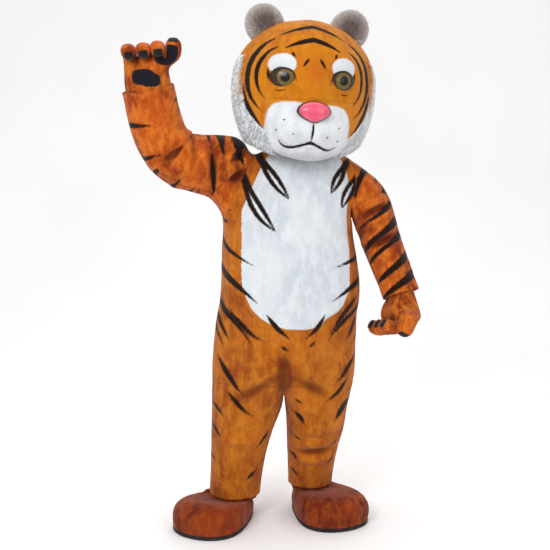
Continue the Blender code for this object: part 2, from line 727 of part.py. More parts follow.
def boot_cage(side):
    toes = math.radians(BOOT_TURN[side])
    ahead = Vector((math.sin(toes), -math.cos(toes), 0.0))
    across = Vector((math.cos(toes), math.sin(toes), 0.0))
    above, hem = (LEG_WEARERS_LEFT if side == "left" else LEG_WEARERS_RIGHT)[-2:]
    angles = [math.radians(360 / ARM_COLUMNS * j) for j in range(ARM_COLUMNS)]
    rings = []
    for rise, slimmer in zip(SHAFT_RISE, SHAFT_SLIMMER[side]):
        share = rise / (above[0] - hem[0])
        _, cx, cy, half_width, half_depth = (low + (high - low) * share for low, high in zip(hem, above))
        centre = Vector((cx, cy, above_floor(hem[0] + rise)))
        ring = []
        for angle in angles:
            x = math.sin(angle + toes) * (half_width - slimmer) / SHRINK[10]
            y = -math.cos(angle + toes) * (half_depth - slimmer) / SHRINK[10]
            ring.append(centre + Vector((x, y, 0.0)))
        rings.append(ring)
    for heel, toe, forward, half_length, half_width in FOOT:
        centre = Vector((hem[1], hem[2], 0.0)) + ahead * forward
        ring = []
        for angle in angles:
            toeward, sideways = math.cos(angle), math.sin(angle)
            if toeward > 0:
                power = 2 / TOE_SQUARENESS
                toeward = toeward ** power
                sideways = math.copysign(abs(sideways) ** power, sideways)
            else:
                sideways *= HEEL_SHARE
            place = ahead * toeward * half_length + across * sideways * half_width
            up = above_floor(heel + (toe - heel) * (1 + math.cos(angle)) / 2)
            ring.append(centre + place / SHRINK[10] + Vector((0.0, 0.0, up)))
        rings.append(ring)
    cage = Cage()
    first = [cage.point(p) for p in rings[0]]
    cage.tube(first, rings[1:], ["boot"] * ARM_COLUMNS)
    return cage


def build_boot(side):
    skin = Skin(boot_cage(side), 1)
    cut_wall(f"boot_{side}", skin, {"boot"}, BOOT_WALL, RUST)
    lowest = min(p.z for p in skin.points)
    rim = [p for p in skin.points if p.z < lowest + 1e-6]
    centre = sum(rim, Vector()) / len(rim)
    rim.sort(key=lambda p: math.atan2(p.y - centre.y, p.x - centre.x))
    mesh = bpy.data.meshes.new(f"sole_{side}")
    shape = bmesh.new()
    corners = [shape.verts.new((p.x, p.y, above_floor(0.0))) for p in rim]
    bottom = shape.faces.new(corners)
    lifted = bmesh.ops.extrude_face_region(shape, geom=[bottom])["geom"]
    top = [v for v in lifted if isinstance(v, bmesh.types.BMVert)]
    bmesh.ops.translate(shape, verts=top, vec=(0.0, 0.0, SOLE))
    bmesh.ops.recalc_face_normals(shape, faces=shape.faces)
    shape.to_mesh(mesh)
    shape.free()
    add_object(f"sole_{side}", mesh, BLACK)


def build_suit():
    skin = Skin(suit_cage(), 1)
    skin.press(fold_depth)
    cut_wall("belly", skin, {"belly"}, PLUSH, WHITE)
    for side in ("left", "right"):
        for piece in (f"front_{side}", f"back_{side}", f"sleeve_{side}"):
            cut_wall(piece, skin, {piece}, PLUSH, ORANGE)
        for piece in (f"leg_{side}_front", f"leg_{side}_back"):
            cut_wall(piece, skin, {piece}, PLUSH, ORANGE)
    return skin


def build_fly(suit):
    """A strip over the seam of the back, drawn in from the quads beside the seam."""
    sides = [{v for f, p in zip(suit.faces, suit.pieces) if p == f"back_{side}" for v in f}
             for side in ("left", "right")]
    lowest = above_floor(FLY_BOTTOM)
    seam = {v for v in sides[0] & sides[1] if suit.points[v].y > 0 and suit.points[v].z > lowest}
    strip = copy.copy(suit)
    strip.points = list(suit.points)
    strip.pieces = list(suit.pieces)
    for i, face in enumerate(suit.faces):
        if suit.pieces[i] in ("back_left", "back_right") and len(seam & set(face)) == 2:
            strip.pieces[i] = "fly"
            for a, b in zip(face, face[1:] + face[:1]):
                if (a in seam) != (b in seam):
                    middle, edge = (a, b) if a in seam else (b, a)
                    strip.points[edge] = suit.points[middle].lerp(suit.points[edge], FLY_SHARE)
    cut_wall("back_fly", strip, {"fly"}, FLY_THICKNESS, ORANGE, raised=FLY_THICKNESS + FLY_CLEARANCE)


for old in list(bpy.data.objects):
    bpy.data.objects.remove(old)
PARTS = bpy.data.collections.new("tiger_costume")
CUTTERS = bpy.data.collections.new("cutters")
bpy.context.scene.collection.children.link(PARTS)
bpy.context.scene.collection.children.link(CUTTERS)
ORANGE = new_material("orange_plush", (0.44, 0.13, 0.02), 0.9)
WHITE = new_material("white_plush", (0.72, 0.76, 0.84), 0.9)
GREY = new_material("grey_fur", (0.42, 0.40, 0.47), 0.9)
RUST = new_material("rust_plush", (0.16, 0.03, 0.008), 0.85)
BLACK = new_material("black_felt", (0.012, 0.009, 0.008), 0.8)
PINK = new_material("pink_vinyl", (0.62, 0.17, 0.16), 0.35)
GLOSS_EYE = new_material("eye_plastic", (0.10, 0.08, 0.02), 0.12)
suit = build_suit()
build_fly(suit)
build_head()
for name in ("left", "right"):
    build_paw(name)
    build_boot(name)
bpy.context.view_layer.update()
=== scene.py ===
import math
import random

import bmesh
import bpy
import numpy as np
from mathutils import Matrix, Vector, noise
from mathutils.bvhtree import BVHTree
from mathutils.kdtree import KDTree


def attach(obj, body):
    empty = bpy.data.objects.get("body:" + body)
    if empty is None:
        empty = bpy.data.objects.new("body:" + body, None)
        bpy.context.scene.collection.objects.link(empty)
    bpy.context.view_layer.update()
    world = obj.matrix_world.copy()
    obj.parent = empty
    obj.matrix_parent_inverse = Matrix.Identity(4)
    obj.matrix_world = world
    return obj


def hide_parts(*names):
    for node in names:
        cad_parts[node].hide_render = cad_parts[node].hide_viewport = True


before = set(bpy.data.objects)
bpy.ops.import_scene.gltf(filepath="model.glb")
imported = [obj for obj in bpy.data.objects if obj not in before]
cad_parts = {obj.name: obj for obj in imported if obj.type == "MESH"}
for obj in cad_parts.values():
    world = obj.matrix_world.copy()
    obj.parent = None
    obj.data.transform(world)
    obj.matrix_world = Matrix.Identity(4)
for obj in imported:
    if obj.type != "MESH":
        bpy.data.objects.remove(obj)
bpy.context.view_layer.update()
random.seed(7)

# The forms below are those of the part: the same rings and the same pieces, rounded more finely.

# Driving dimensions, in metres.
SHOULDER_HEIGHT = 1.36
PLUSH = 0.006
HEAD_WALL = 0.012
BOOT_WALL = 0.007
SOLE = 0.014
SEAM = 0.0004
FELT = 0.0025

# How far a subdivided ring of this many points shrinks from its cage.
SHRINK = {n: (2 + math.cos(math.tau / n)) / 3 for n in (4, 8, 10, 16)}

# Torso rings, from the neck to the crotch.
# height, centre x, centre y, half width, half depth, half width of the white front
TORSO = (
    (1.405, 0.005, 0.012, 0.094, 0.090, 0.082),
    (1.375, 0.003, 0.012, 0.122, 0.104, 0.104),
    (1.335, -0.002, 0.012, 0.186, 0.126, 0.140),
    (1.262, -0.010, 0.010, 0.214, 0.150, 0.170),
    (1.195, -0.028, 0.006, 0.224, 0.164, 0.190),
    (1.130, -0.044, 0.002, 0.234, 0.174, 0.206),
    (1.030, -0.047, 0.000, 0.243, 0.182, 0.212),
    (0.905, -0.034, 0.000, 0.257, 0.187, 0.210),
    (0.818, -0.038, 0.000, 0.259, 0.190, 0.176),
    (0.780, -0.045, 0.000, 0.258, 0.190, 0.138),
    (0.750, -0.050, 0.000, 0.261, 0.190, 0.070),
    (0.610, -0.060, 0.000, 0.266, 0.184, 0.110),
    (0.520, -0.062, 0.000, 0.266, 0.170, 0.118),
)
TORSO_COLUMNS = 16
SQUARENESS = 2.5
WHITE_COLUMN = 2
WHITE_LAST_ROW = 10
WHITE_END_DROP = (-0.014, -0.006, 0.016)
ARMHOLE_TOP_ROW = 2
ARMHOLE_ROWS = 3
# How far the white front stands towards the wearer's left, at each row of the torso
WHITE_SHIFT = (0.004, 0.008, 0.014, 0.020, 0.024, 0.028, 0.030, 0.030, 0.026, 0.022, 0.016, 0.0, 0.0)
SIDES_LEFT = (68.0, 91.0, 116.0)
SIDES_RIGHT = (64.0, 90.0, 116.0)
SLIT_HEIGHT = 0.455
CROTCH_X = -0.060

# Leg rings below the crotch: height, centre x, centre y, half width, half depth
LEG_WEARERS_RIGHT = (
    (0.420, -0.194, 0.000, 0.134, 0.140),
    (0.340, -0.214, -0.005, 0.117, 0.127),
    (0.252, -0.228, -0.005, 0.104, 0.115),
    (0.166, -0.237, 0.000, 0.097, 0.107),
    (0.086, -0.243, 0.004, 0.095, 0.104),
)
LEG_WEARERS_LEFT = (
    (0.420, 0.060, 0.000, 0.116, 0.136),
    (0.340, 0.061, 0.014, 0.109, 0.125),
    (0.256, 0.050, 0.038, 0.098, 0.112),
    (0.174, 0.044, 0.064, 0.087, 0.103),
    (0.100, 0.042, 0.084, 0.084, 0.100),
)

# Sleeve rings past the armhole: height, centre x, centre y, half size across the arm, half depth
SLEEVE_WEARERS_RIGHT = (
    (1.314, -0.272, -0.004, 0.130, 0.112),
    (1.314, -0.362, -0.022, 0.110, 0.106),
    (1.342, -0.470, -0.050, 0.108, 0.102),
    (1.440, -0.520, -0.074, 0.098, 0.096),
    (1.588, -0.545, -0.104, 0.093, 0.090),
)
SLEEVE_WEARERS_LEFT = (
    (1.190, 0.253, -0.006, 0.086, 0.108),
    (1.100, 0.277, -0.020, 0.072, 0.094),
    (1.008, 0.306, -0.040, 0.072, 0.086),
    (0.902, 0.348, -0.068, 0.066, 0.076),
    (0.845, 0.366, -0.084, 0.067, 0.072),
)
ARM_COLUMNS = 10

# Head rings about its centre, from the rim at the neck to the crown:
# height, half width, half depth in front, half depth behind, lift of the sides and back,
# angle from the front of the muzzle's edge, of the face's edge, and of the ruff's back edge
HEAD_CENTRE = (0.011, -0.040, 1.591)
HEAD_YAW = math.radians(7)
HEAD_ROLL = math.radians(3.2)
HEAD = (
    (-0.252, 0.142, 0.124, 0.185, 0.0514, 38, 60, 108),
    (-0.268, 0.168, 0.176, 0.204, 0.0678, 38, 58, 108),
    (-0.215, 0.198, 0.212, 0.210, 0.026, 39, 57, 108),
    (-0.136, 0.226, 0.226, 0.214, 0.002, 40, 62, 108),
    (-0.058, 0.243, 0.234, 0.226, 0.0, 36, 70, 108),
    (0.030, 0.245, 0.236, 0.230, 0.0, 36, 74, 104),
    (0.105, 0.230, 0.224, 0.222, 0.0, 36, 74, 100),
    (0.170, 0.192, 0.190, 0.192, 0.0, 34, 72, 98),
    (0.218, 0.132, 0.132, 0.138, 0.0, 32, 66, 98),
    (0.240, 0.062, 0.064, 0.066, 0.0, 32, 66, 98),
)
CROWN = 0.248
MUZZLE_ROWS = 4
FACE_ROWS = range(2, 8)
RUFF_ROWS = 6
RUFF_FLARE = 0.016

# Soft bulges and hollows of the face, mirrored about its middle:
# x, height from the head's centre, reach across, reach up and down, how far it stands out
FACE_RELIEF = (
    (0.000, -0.150, 0.150, 0.085, 0.030),
    (0.058, -0.160, 0.070, 0.056, 0.026),
    (0.000, -0.236, 0.080, 0.036, 0.012),
    (0.000, -0.040, 0.056, 0.080, 0.024),
    (0.110, 0.018, 0.052, 0.040, -0.012),
    (0.104, 0.084, 0.064, 0.034, 0.008),
)
EYE = {"x": 0.100, "height": 0.020, "radii": (0.050, 0.018, 0.036), "turn": 20}
NOSE = {"height": -0.098, "radii": (0.060, 0.034, 0.038)}
EAR = {"x": 0.155, "y": 0.0, "height": 0.220, "radii": (0.072, 0.030, 0.077), "lean": 24}
EAR_INNER = {"ahead": 0.016, "radii": (0.061, 0.022, 0.065)}

# Paws: the ways along the hand and out of its palm
PAWS = {
    "right": {"along": (-0.10, -0.16, 1.0), "palm": (0.10, -1.0, -0.05)},
    "left": {"along": (-0.08, -0.25, -1.0), "palm": (-1.0, -0.35, 0.05)},
}
# The cuff stands inside the sleeve: how far past the sleeve's end each ring is, and how much slimmer
CUFF_PAST = (-0.038, -0.007)
CUFF_SLIMMER = {"right": (0.0063, 0.0078), "left": (0.015, 0.0165)}
# Rings of the hand from the sleeve's end: how far along, half width, half thickness
HAND = {
    "right": ((0.030, 0.084, 0.064), (0.066, 0.080, 0.060), (0.104, 0.076, 0.056)),
    "left": ((0.0363, 0.067, 0.050), (0.062, 0.076, 0.057), (0.092, 0.076, 0.055)),
}
FINGERS = 3
FINGER_REACH = (0.042, 0.044, 0.034)
FINGER_CURL = {"right": (30, 86, 134), "left": (34, 84, 124)}
FINGER_HALF = (0.0290, 0.0300, 0.025)
THUMB_REACH = (0.034, 0.036, 0.030)
THUMB_HALF = (0.034, 0.033, 0.026)

# Boots: the way the toes point, in degrees to the wearer's left
BOOT_TURN = {"right": -31, "left": 27}
# The shaft stands inside the leg: how far above the hem each ring is, and how much slimmer
SHAFT_RISE = (0.050, -0.004, -0.016)
SHAFT_SLIMMER = {"right": (0.0098, 0.0087, 0.0056), "left": (0.0079, 0.0114, 0.0108)}
# Rings of the foot: height at the heel and at the toes, how far ahead of the ankle, half length,
# half width
FOOT = (
    (0.056, 0.126, 0.086, 0.150, 0.120),
    (0.036, 0.082, 0.112, 0.190, 0.144),
    (0.0147, 0.0147, 0.110, 0.181, 0.138),
)
HEEL_SHARE = 0.70
TOE_SQUARENESS = 2.6

# The strip that hides the closure of the back: heights of its ends, half its width, its thickness
FLY_TOP = 1.401
FLY_BOTTOM = 0.84
FLY_HALF_WIDTH = 0.026
FLY_THICKNESS = 0.004


def above_floor(height):
    """A height above the floor, as a Z in the frame of the part."""
    return height - SHOULDER_HEIGHT


class Cage:
    """Points and quads of a coarse form, with the name of the cut piece on each quad."""

    def __init__(self):
        self.points = []
        self.faces = []
        self.pieces = []

    def point(self, place):
        self.points.append(Vector(place))
        return len(self.points) - 1

    def face(self, corners, piece):
        self.faces.append(tuple(corners))
        self.pieces.append(piece)

    def tube(self, first, rings, pieces):
        """Joins a loop of points to the rings that follow it; pieces names each column's piece."""
        count = len(first)
        previous = first
        for ring in rings:
            current = [self.point(p) for p in ring]
            for j in range(count):
                k = (j + 1) % count
                self.face((previous[j], previous[k], current[k], current[j]), pieces[j])
            previous = current
        return previous


def torso_ring(row):
    height, cx, cy, half_width, half_depth, white = TORSO[row]
    power = 2 / SQUARENESS
    halves = []
    for shift, sides in ((WHITE_SHIFT[row], SIDES_LEFT), (-WHITE_SHIFT[row], SIDES_RIGHT)):
        edge = math.degrees(math.asin(min(0.97, ((white + shift) / half_width) ** (1 / power))))
        edge = min(edge, sides[0] - 5.0)
        halves.append([edge * 0.55, edge, *sides, 138.0, 159.0])
    angles = [0.0, *halves[0], 180.0, *(360.0 - a for a in reversed(halves[1]))]
    ring = []
    for column, angle in enumerate(angles):
        across = math.sin(math.radians(angle))
        ahead = math.cos(math.radians(angle))
        from_front = min(column, TORSO_COLUMNS - column)
        ends_white = row == WHITE_LAST_ROW and from_front <= WHITE_COLUMN
        rise = WHITE_END_DROP[from_front] if ends_white else 0.0
        x = math.copysign(abs(across) ** power, across) * half_width / SHRINK[16]
        y = -math.copysign(abs(ahead) ** power, ahead) * half_depth / SHRINK[16]
        ring.append(Vector((cx + x, cy + y, above_floor(height + rise))))
    return ring


def sleeve_rings(table, armhole):
    """Rings square to the arm, turned as little as possible from one to the next."""
    centres = [Vector((x, y, above_floor(h))) for h, x, y, _, _ in table]
    root = sum(armhole, Vector()) / len(armhole)
    up = Vector((0.0, 0.0, 1.0))
    rings = []
    for i, (_, _, _, half_across, half_depth) in enumerate(table):
        before = centres[i - 1] if i else root
        after = centres[min(i + 1, len(centres) - 1)]
        along = (after - before).normalized()
        up = (up - along * up.dot(along)).normalized()
        back = up.cross(along)
        if back.y < 0:
            back = -back
        ring = []
        for j in range(ARM_COLUMNS):
            angle = math.radians(90 - 360 / ARM_COLUMNS * j)
            across = up * math.sin(angle) * half_across
            behind = back * math.cos(angle) * half_depth
            ring.append(centres[i] + (across + behind) / SHRINK[10])
        rings.append(ring)
    return rings


def leg_rings(table, outward):
    """Rings of a leg; the first point is at the front of the crotch and they run round outside."""
    rings = []
    for height, cx, cy, half_width, half_depth in table:
        ring = []
        for j in range(ARM_COLUMNS):
            angle = math.radians(360 / ARM_COLUMNS * (j + 1) - 180)
            x = math.cos(angle) * half_width * outward / SHRINK[10]
            y = math.sin(angle) * half_depth / SHRINK[10]
            ring.append(Vector((cx + x, cy + y, above_floor(height))))
        rings.append(ring)
    return rings


def torso_piece(row, column):
    """The cut piece that a quad of the torso belongs to; columns run from the front to the left."""
    wearers_left = column < TORSO_COLUMNS // 2
    from_front = column if wearers_left else TORSO_COLUMNS - 1 - column
    side = "left" if wearers_left else "right"
    if from_front < WHITE_COLUMN and row < WHITE_LAST_ROW:
        return "belly"
    return f"front_{side}" if from_front < 4 else f"back_{side}"


def suit_cage():
    cage = Cage()
    grid = [[cage.point(p) for p in torso_ring(row)] for row in range(len(TORSO))]
    last = ARMHOLE_TOP_ROW + ARMHOLE_ROWS
    armholes = {}
    for row in range(len(TORSO) - 1):
        for column in range(TORSO_COLUMNS):
            in_rows = ARMHOLE_TOP_ROW <= row < last
            if in_rows and column in (3, 4, 11, 12):
                continue
            following = (column + 1) % TORSO_COLUMNS
            corners = (grid[row][column], grid[row][following],
                       grid[row + 1][following], grid[row + 1][column])
            cage.face(corners, torso_piece(row, column))
    for name, side, behind in (("left", 4, 1), ("right", 12, -1)):
        rows = range(ARMHOLE_TOP_ROW, last + 1)
        back = [grid[row][side + behind] for row in rows]
        front = [grid[row][side - behind] for row in rows]
        armholes[name] = [grid[ARMHOLE_TOP_ROW][side], *back, grid[last][side], *reversed(front)]
    for name, table in (("left", SLEEVE_WEARERS_LEFT), ("right", SLEEVE_WEARERS_RIGHT)):
        armhole = armholes[name]
        rings = sleeve_rings(table, [cage.points[v] for v in armhole])
        cage.tube(armhole, rings, [f"sleeve_{name}"] * ARM_COLUMNS)
    crotch = cage.point((CROTCH_X, 0.0, above_floor(SLIT_HEIGHT)))
    ring = grid[-1]
    half = TORSO_COLUMNS // 2
    for name, table, outward in (("left", LEG_WEARERS_LEFT, 1), ("right", LEG_WEARERS_RIGHT, -1)):
        columns = range(half + 1) if outward > 0 else range(TORSO_COLUMNS, half - 1, -1)
        first = [ring[c % TORSO_COLUMNS] for c in columns] + [crotch]
        pieces = [f"leg_{name}_front"] * 4 + [f"leg_{name}_back"] * 4
        pieces += [f"leg_{name}_back", f"leg_{name}_front"]
        cage.tube(first, leg_rings(table, outward), pieces)
    return cage


def head_ring(row):
    height, half_width, ahead, behind, lift, muzzle, face, ruff = HEAD[row]
    quarter = [0.0, muzzle / 2, muzzle, face, (face + ruff) / 2, ruff]
    angles = quarter + [ruff + (180 - ruff) * share for share in (1 / 3, 2 / 3, 1)]
    angles += [360 - a for a in reversed(angles[1:-1])]
    ring = []
    for column, angle in enumerate(angles):
        sine, cosine = math.sin(math.radians(angle)), math.cos(math.radians(angle))
        flare = RUFF_FLARE if row <= RUFF_ROWS and min(column, 16 - column) == 4 else 0.0
        x = sine * (half_width / SHRINK[16] + flare)
        y = -cosine * (ahead if cosine > 0 else behind) / SHRINK[16]
        up = height + lift * (1 - max(0.0, cosine) ** 1.5)
        ring.append(Vector((x, y, up)))
    return ring


def head_piece(row, column):
    from_front = column if column < 8 else 15 - column
    side = "left" if column < 8 else "right"
    if from_front < 2 and row < MUZZLE_ROWS:
        return "muzzle" if row > 1 else "chin"
    if from_front < 3 and row in FACE_ROWS:
        return "face"
    if from_front < 5 and row < RUFF_ROWS:
        return f"ruff_{side}"
    return "head_back"


def head_cage():
    cage = Cage()
    grid = [[cage.point(p) for p in head_ring(row)] for row in range(len(HEAD))]
    for row in range(len(HEAD) - 1):
        for column in range(16):
            following = (column + 1) % 16
            corners = (grid[row][column], grid[row][following],
                       grid[row + 1][following], grid[row + 1][column])
            cage.face(corners, head_piece(row, column))
    top = cage.point((0.0, 0.0, CROWN))
    for column in range(0, 16, 2):
        corners = (grid[-1][column], grid[-1][column + 1], grid[-1][(column + 2) % 16], top)
        cage.face(corners, "head_back")
    return cage


def head_pose():
    turn = Matrix.Rotation(HEAD_YAW, 4, "Z") @ Matrix.Rotation(HEAD_ROLL, 4, "Y")
    x, y, height = HEAD_CENTRE
    return Matrix.Translation((x, y, above_floor(height))) @ turn


def hand_ring(centre, along, across, up, half_width, half_thick):
    """Eight points: the back of the hand away from the thumb to it, then the palm back again."""
    ring = []
    for share in (-1, -1 / 3, 1 / 3, 1):
        ring.append(centre + across * half_width * share + up * half_thick)
    for share in (1, 1 / 3, -1 / 3, -1):
        ring.append(centre + across * half_width * share - up * half_thick)
    return ring


def finger(cage, base, root, ways, halves, across, palm_first, pieces):
    """Four-sided rings from a base face of the hand to a closed tip.

    ways holds the step to each ring; palm_first is the way to the palm side of the first ring."""
    previous = base
    centre = root
    palm = palm_first
    for i, (step, half) in enumerate(zip(ways, halves)):
        centre = centre + step
        following = ways[min(i + 1, len(ways) - 1)]
        along = (step.normalized() + following.normalized()).normalized()
        palm = (palm - along * palm.dot(along)).normalized()
        side = across - along * across.dot(along)
        side = (side - palm * side.dot(palm)).normalized()
        corners = ((-1, -1), (1, -1), (1, 1), (-1, 1))
        ring = [cage.point(centre + side * half * a + palm * half * b) for a, b in corners]
        for j in range(4):
            k = (j + 1) % 4
            cage.face((previous[j], previous[k], ring[k], ring[j]), pieces[j])
        previous = ring
    cage.face(previous, pieces[4])


def paw_cage(side):
    spec = PAWS[side]
    palm = Vector(spec["palm"])
    along = Vector(spec["along"]).normalized()
    palm = (palm - along * palm.dot(along)).normalized()
    thumbward = along.cross(palm) * (-1 if side == "left" else 1)
    before, end = (SLEEVE_WEARERS_LEFT if side == "left" else SLEEVE_WEARERS_RIGHT)[-2:]
    wrist = Vector((end[1], end[2], above_floor(end[0])))
    way = (wrist - Vector((before[1], before[2], above_floor(before[0])))).normalized()
    cuff_palm = (palm - way * palm.dot(way)).normalized()
    cuff_across = (thumbward - way * thumbward.dot(way)).normalized()
    cage = Cage()
    rings = []
    for past, slimmer in zip(CUFF_PAST, CUFF_SLIMMER[side]):
        ring = []
        for j in range(8):
            angle = math.radians(157.5 - 45 * j)
            place = cuff_across * math.cos(angle) - cuff_palm * math.sin(angle)
            radius = (min(end[3], end[4]) - slimmer) / SHRINK[8]
            ring.append(cage.point(wrist + way * past + place * radius))
        rings.append(ring)
    back, inside = f"paw_{side}_back", f"paw_{side}_palm"
    columns = [back] * 4 + [inside] * 3 + [back]
    for reach, half_width, half_thick in HAND[side]:
        places = hand_ring(wrist + along * reach, along, thumbward, -palm, half_width, half_thick)
        rings.append([cage.point(p) for p in places])
    thumb_face = None
    for before, after in zip(rings, rings[1:]):
        for j in range(8):
            k = (j + 1) % 8
            corners = (before[j], before[k], after[k], after[j])
            if j == 3 and before is rings[-2]:
                thumb_face = corners
                continue
            cage.face(corners, columns[j])
    knuckles = rings[-1]
    for i in range(FINGERS):
        base = (knuckles[i], knuckles[i + 1], knuckles[6 - i], knuckles[7 - i])
        root = sum((cage.points[v] for v in base), Vector()) / 4
        ways = []
        for reach, curl in zip(FINGER_REACH, FINGER_CURL[side]):
            turn = math.radians(curl)
            way = along * math.cos(turn) + palm * math.sin(turn)
            ways.append(way * reach)
        tip = f"pad_{side}_{i + 1}"
        finger(cage, base, root, ways, FINGER_HALF, thumbward, palm, [back, back, inside, back, tip])
    before_back, before_palm, after_palm, after_back = thumb_face
    base = (before_back, after_back, after_palm, before_palm)
    root = sum((cage.points[v] for v in base), Vector()) / 4
    way = (thumbward * 0.80 + along * 0.70 + palm * 0.45).normalized()
    bent = (thumbward * 0.12 + along * 1.0 + palm * 0.40).normalized()
    ways = [d * r for d, r in zip((way, bent, bent), THUMB_REACH)]
    finger(cage, base, root, ways, THUMB_HALF, along, palm, [back, back, inside, back, f"pad_{side}_thumb"])
    return cage


def boot_cage(side):
    toes = math.radians(BOOT_TURN[side])
    ahead = Vector((math.sin(toes), -math.cos(toes), 0.0))
    across = Vector((math.cos(toes), math.sin(toes), 0.0))
    above, hem = (LEG_WEARERS_LEFT if side == "left" else LEG_WEARERS_RIGHT)[-2:]
    angles = [math.radians(360 / ARM_COLUMNS * j) for j in range(ARM_COLUMNS)]
    rings = []
    for rise, slimmer in zip(SHAFT_RISE, SHAFT_SLIMMER[side]):
        share = rise / (above[0] - hem[0])
        between = [low + (high - low) * share for low, high in zip(hem, above)]
        _, cx, cy, half_width, half_depth = between
        centre = Vector((cx, cy, above_floor(hem[0] + rise)))
        ring = []
        for angle in angles:
            x = math.sin(angle + toes) * (half_width - slimmer) / SHRINK[10]
            y = -math.cos(angle + toes) * (half_depth - slimmer) / SHRINK[10]
            ring.append(centre + Vector((x, y, 0.0)))
        rings.append(ring)
    for heel, toe, forward, half_length, half_width in FOOT:
        centre = Vector((hem[1], hem[2], 0.0)) + ahead * forward
        ring = []
        for angle in angles:
            toeward, sideways = math.cos(angle), math.sin(angle)
            if toeward > 0:
                power = 2 / TOE_SQUARENESS
                toeward = toeward ** power
                sideways = math.copysign(abs(sideways) ** power, sideways)
            else:
                sideways *= HEEL_SHARE
            place = ahead * toeward * half_length + across * sideways * half_width
            up = above_floor(heel + (toe - heel) * (1 + math.cos(angle)) / 2)
            ring.append(centre + place / SHRINK[10] + Vector((0.0, 0.0, up)))
        rings.append(ring)
    cage = Cage()
    first = [cage.point(p) for p in rings[0]]
    cage.tube(first, rings[1:], ["boot"] * ARM_COLUMNS)
    return cage


# How often each cage is rounded, and the guide that the eyes, nose and ears are seated on
SUIT_LEVELS = 4
HEAD_LEVELS = 4
GUIDE_LEVELS = 3
PAW_LEVELS = 3
BOOT_LEVELS = 4
# Gaps at the seams that show, narrower than the part's because fur covers them
SUIT_GAP = 0.00012
HEAD_GAP = 0.00004
# The value of a mark's field far outside it, in metres
OUTSIDE = -0.05


class Skin:
    """A cage rounded finely: points and normals as arrays, quads, and a piece number on each quad."""

    def __init__(self, cage, levels):
        self.names = sorted(set(cage.pieces))
        mesh = bpy.data.meshes.new("cage")
        mesh.from_pydata(cage.points, [], cage.faces)
        mark = mesh.attributes.new("piece", "INT", "FACE")
        mark.data.foreach_set("value", [self.names.index(p) for p in cage.pieces])
        shape = bmesh.new()
        shape.from_mesh(mesh)
        bmesh.ops.recalc_face_normals(shape, faces=shape.faces)
        shape.to_mesh(mesh)
        shape.free()
        guide = placed("cage", mesh)
        rounding = guide.modifiers.new("rounding", "SUBSURF")
        rounding.levels = levels
        rounding.render_levels = levels
        bpy.context.view_layer.update()
        graph = bpy.context.evaluated_depsgraph_get()
        made = bpy.data.meshes.new_from_object(guide.evaluated_get(graph))
        self.points = read_array(made.vertices, "co", 3)
        self.faces = np.array([tuple(p.vertices) for p in made.polygons])
        self.pieces = np.empty(len(self.faces), dtype=np.int32)
        made.attributes["piece"].data.foreach_get("value", self.pieces)
        bpy.data.objects.remove(guide)
        bpy.data.meshes.remove(mesh)
        bpy.data.meshes.remove(made)
        self.find_normals()
        if self.normals[self.points[:, 1].argmin()][1] > 0:
            self.faces = self.faces[:, ::-1]
            self.find_normals()
        self.rest = self.points.copy()

    def find_normals(self):
        a, b, c, d = (self.points[self.faces[:, i]] for i in range(4))
        across = np.cross(c - a, d - b)
        normals = np.zeros_like(self.points)
        for i in range(4):
            np.add.at(normals, self.faces[:, i], across)
        self.normals = normals / np.maximum(np.linalg.norm(normals, axis=1), 1e-12)[:, None]

    def press(self, depth):
        self.points = self.points + self.normals * depth[:, None]
        self.find_normals()

    def move(self, matrix):
        turn = np.array(matrix.to_3x3())
        self.points = self.points @ turn.T + np.array(matrix.translation)
        self.find_normals()

    def chosen(self, pieces):
        return np.isin(self.pieces, [self.names.index(p) for p in pieces])


def placed(name, data):
    """A new object in the scene that holds the mesh, lamp or camera."""
    made = bpy.data.objects.new(name, data)
    bpy.context.scene.collection.objects.link(made)
    return made


def set_values(mesh, key, values):
    """Stores one named value on each point of a mesh, for its material to read."""
    mesh.attributes.new(key, "FLOAT", "POINT").data.foreach_set("value", values)


def read_array(items, key, width):
    values = np.empty(len(items) * width, dtype=np.float64)
    items.foreach_get(key, values)
    return values.reshape(-1, width) if width > 1 else values


def smooth(low, high, value):
    share = np.clip((value - low) / (high - low), 0.0, 1.0)
    return share * share * (3 - 2 * share)


def edge_distance(skin, groups, reach=0.03):
    """How far each point is from the nearest seam between the groups of pieces or open edge."""
    group_of = np.full(len(skin.names), -1)
    for number, group in enumerate(groups):
        for name in group:
            group_of[skin.names.index(name)] = number
    numbers = group_of[skin.pieces]
    low = np.full(len(skin.points), 99)
    high = np.full(len(skin.points), -99)
    for i in range(4):
        np.minimum.at(low, skin.faces[:, i], numbers)
        np.maximum.at(high, skin.faces[:, i], numbers)
    on_seam = np.nonzero(low != high)[0]
    tree = KDTree(len(on_seam))
    for i, v in enumerate(on_seam):
        tree.insert(skin.rest[v], i)
    tree.balance()
    distance = np.full(len(skin.points), reach)
    if len(on_seam):
        for v, place in enumerate(skin.rest):
            distance[v] = min(reach, tree.find(place)[2])
    return distance


def segment_field(u, v, strokes, wrap=None):
    """How far inside the nearest stroke each point is: half width less distance, in metres.

    A stroke is a list of (u, v, half width). Where u goes round, wrap is its full length."""
    field = np.full(len(u), OUTSIDE)
    for stroke in strokes:
        for (u0, v0, w0), (u1, v1, w1) in zip(stroke, stroke[1:]):
            du = u - u0
            if wrap:
                middle = (u0 + u1) / 2
                du = (u - middle + wrap / 2) % wrap - wrap / 2 + middle - u0
            length = max((u1 - u0) ** 2 + (v1 - v0) ** 2, 1e-12)
            share = np.clip((du * (u1 - u0) + (v - v0) * (v1 - v0)) / length, 0.0, 1.0)
            away = np.hypot(du - share * (u1 - u0), v - v0 - share * (v1 - v0))
            field = np.maximum(field, w0 + (w1 - w0) * share - away)
    return field


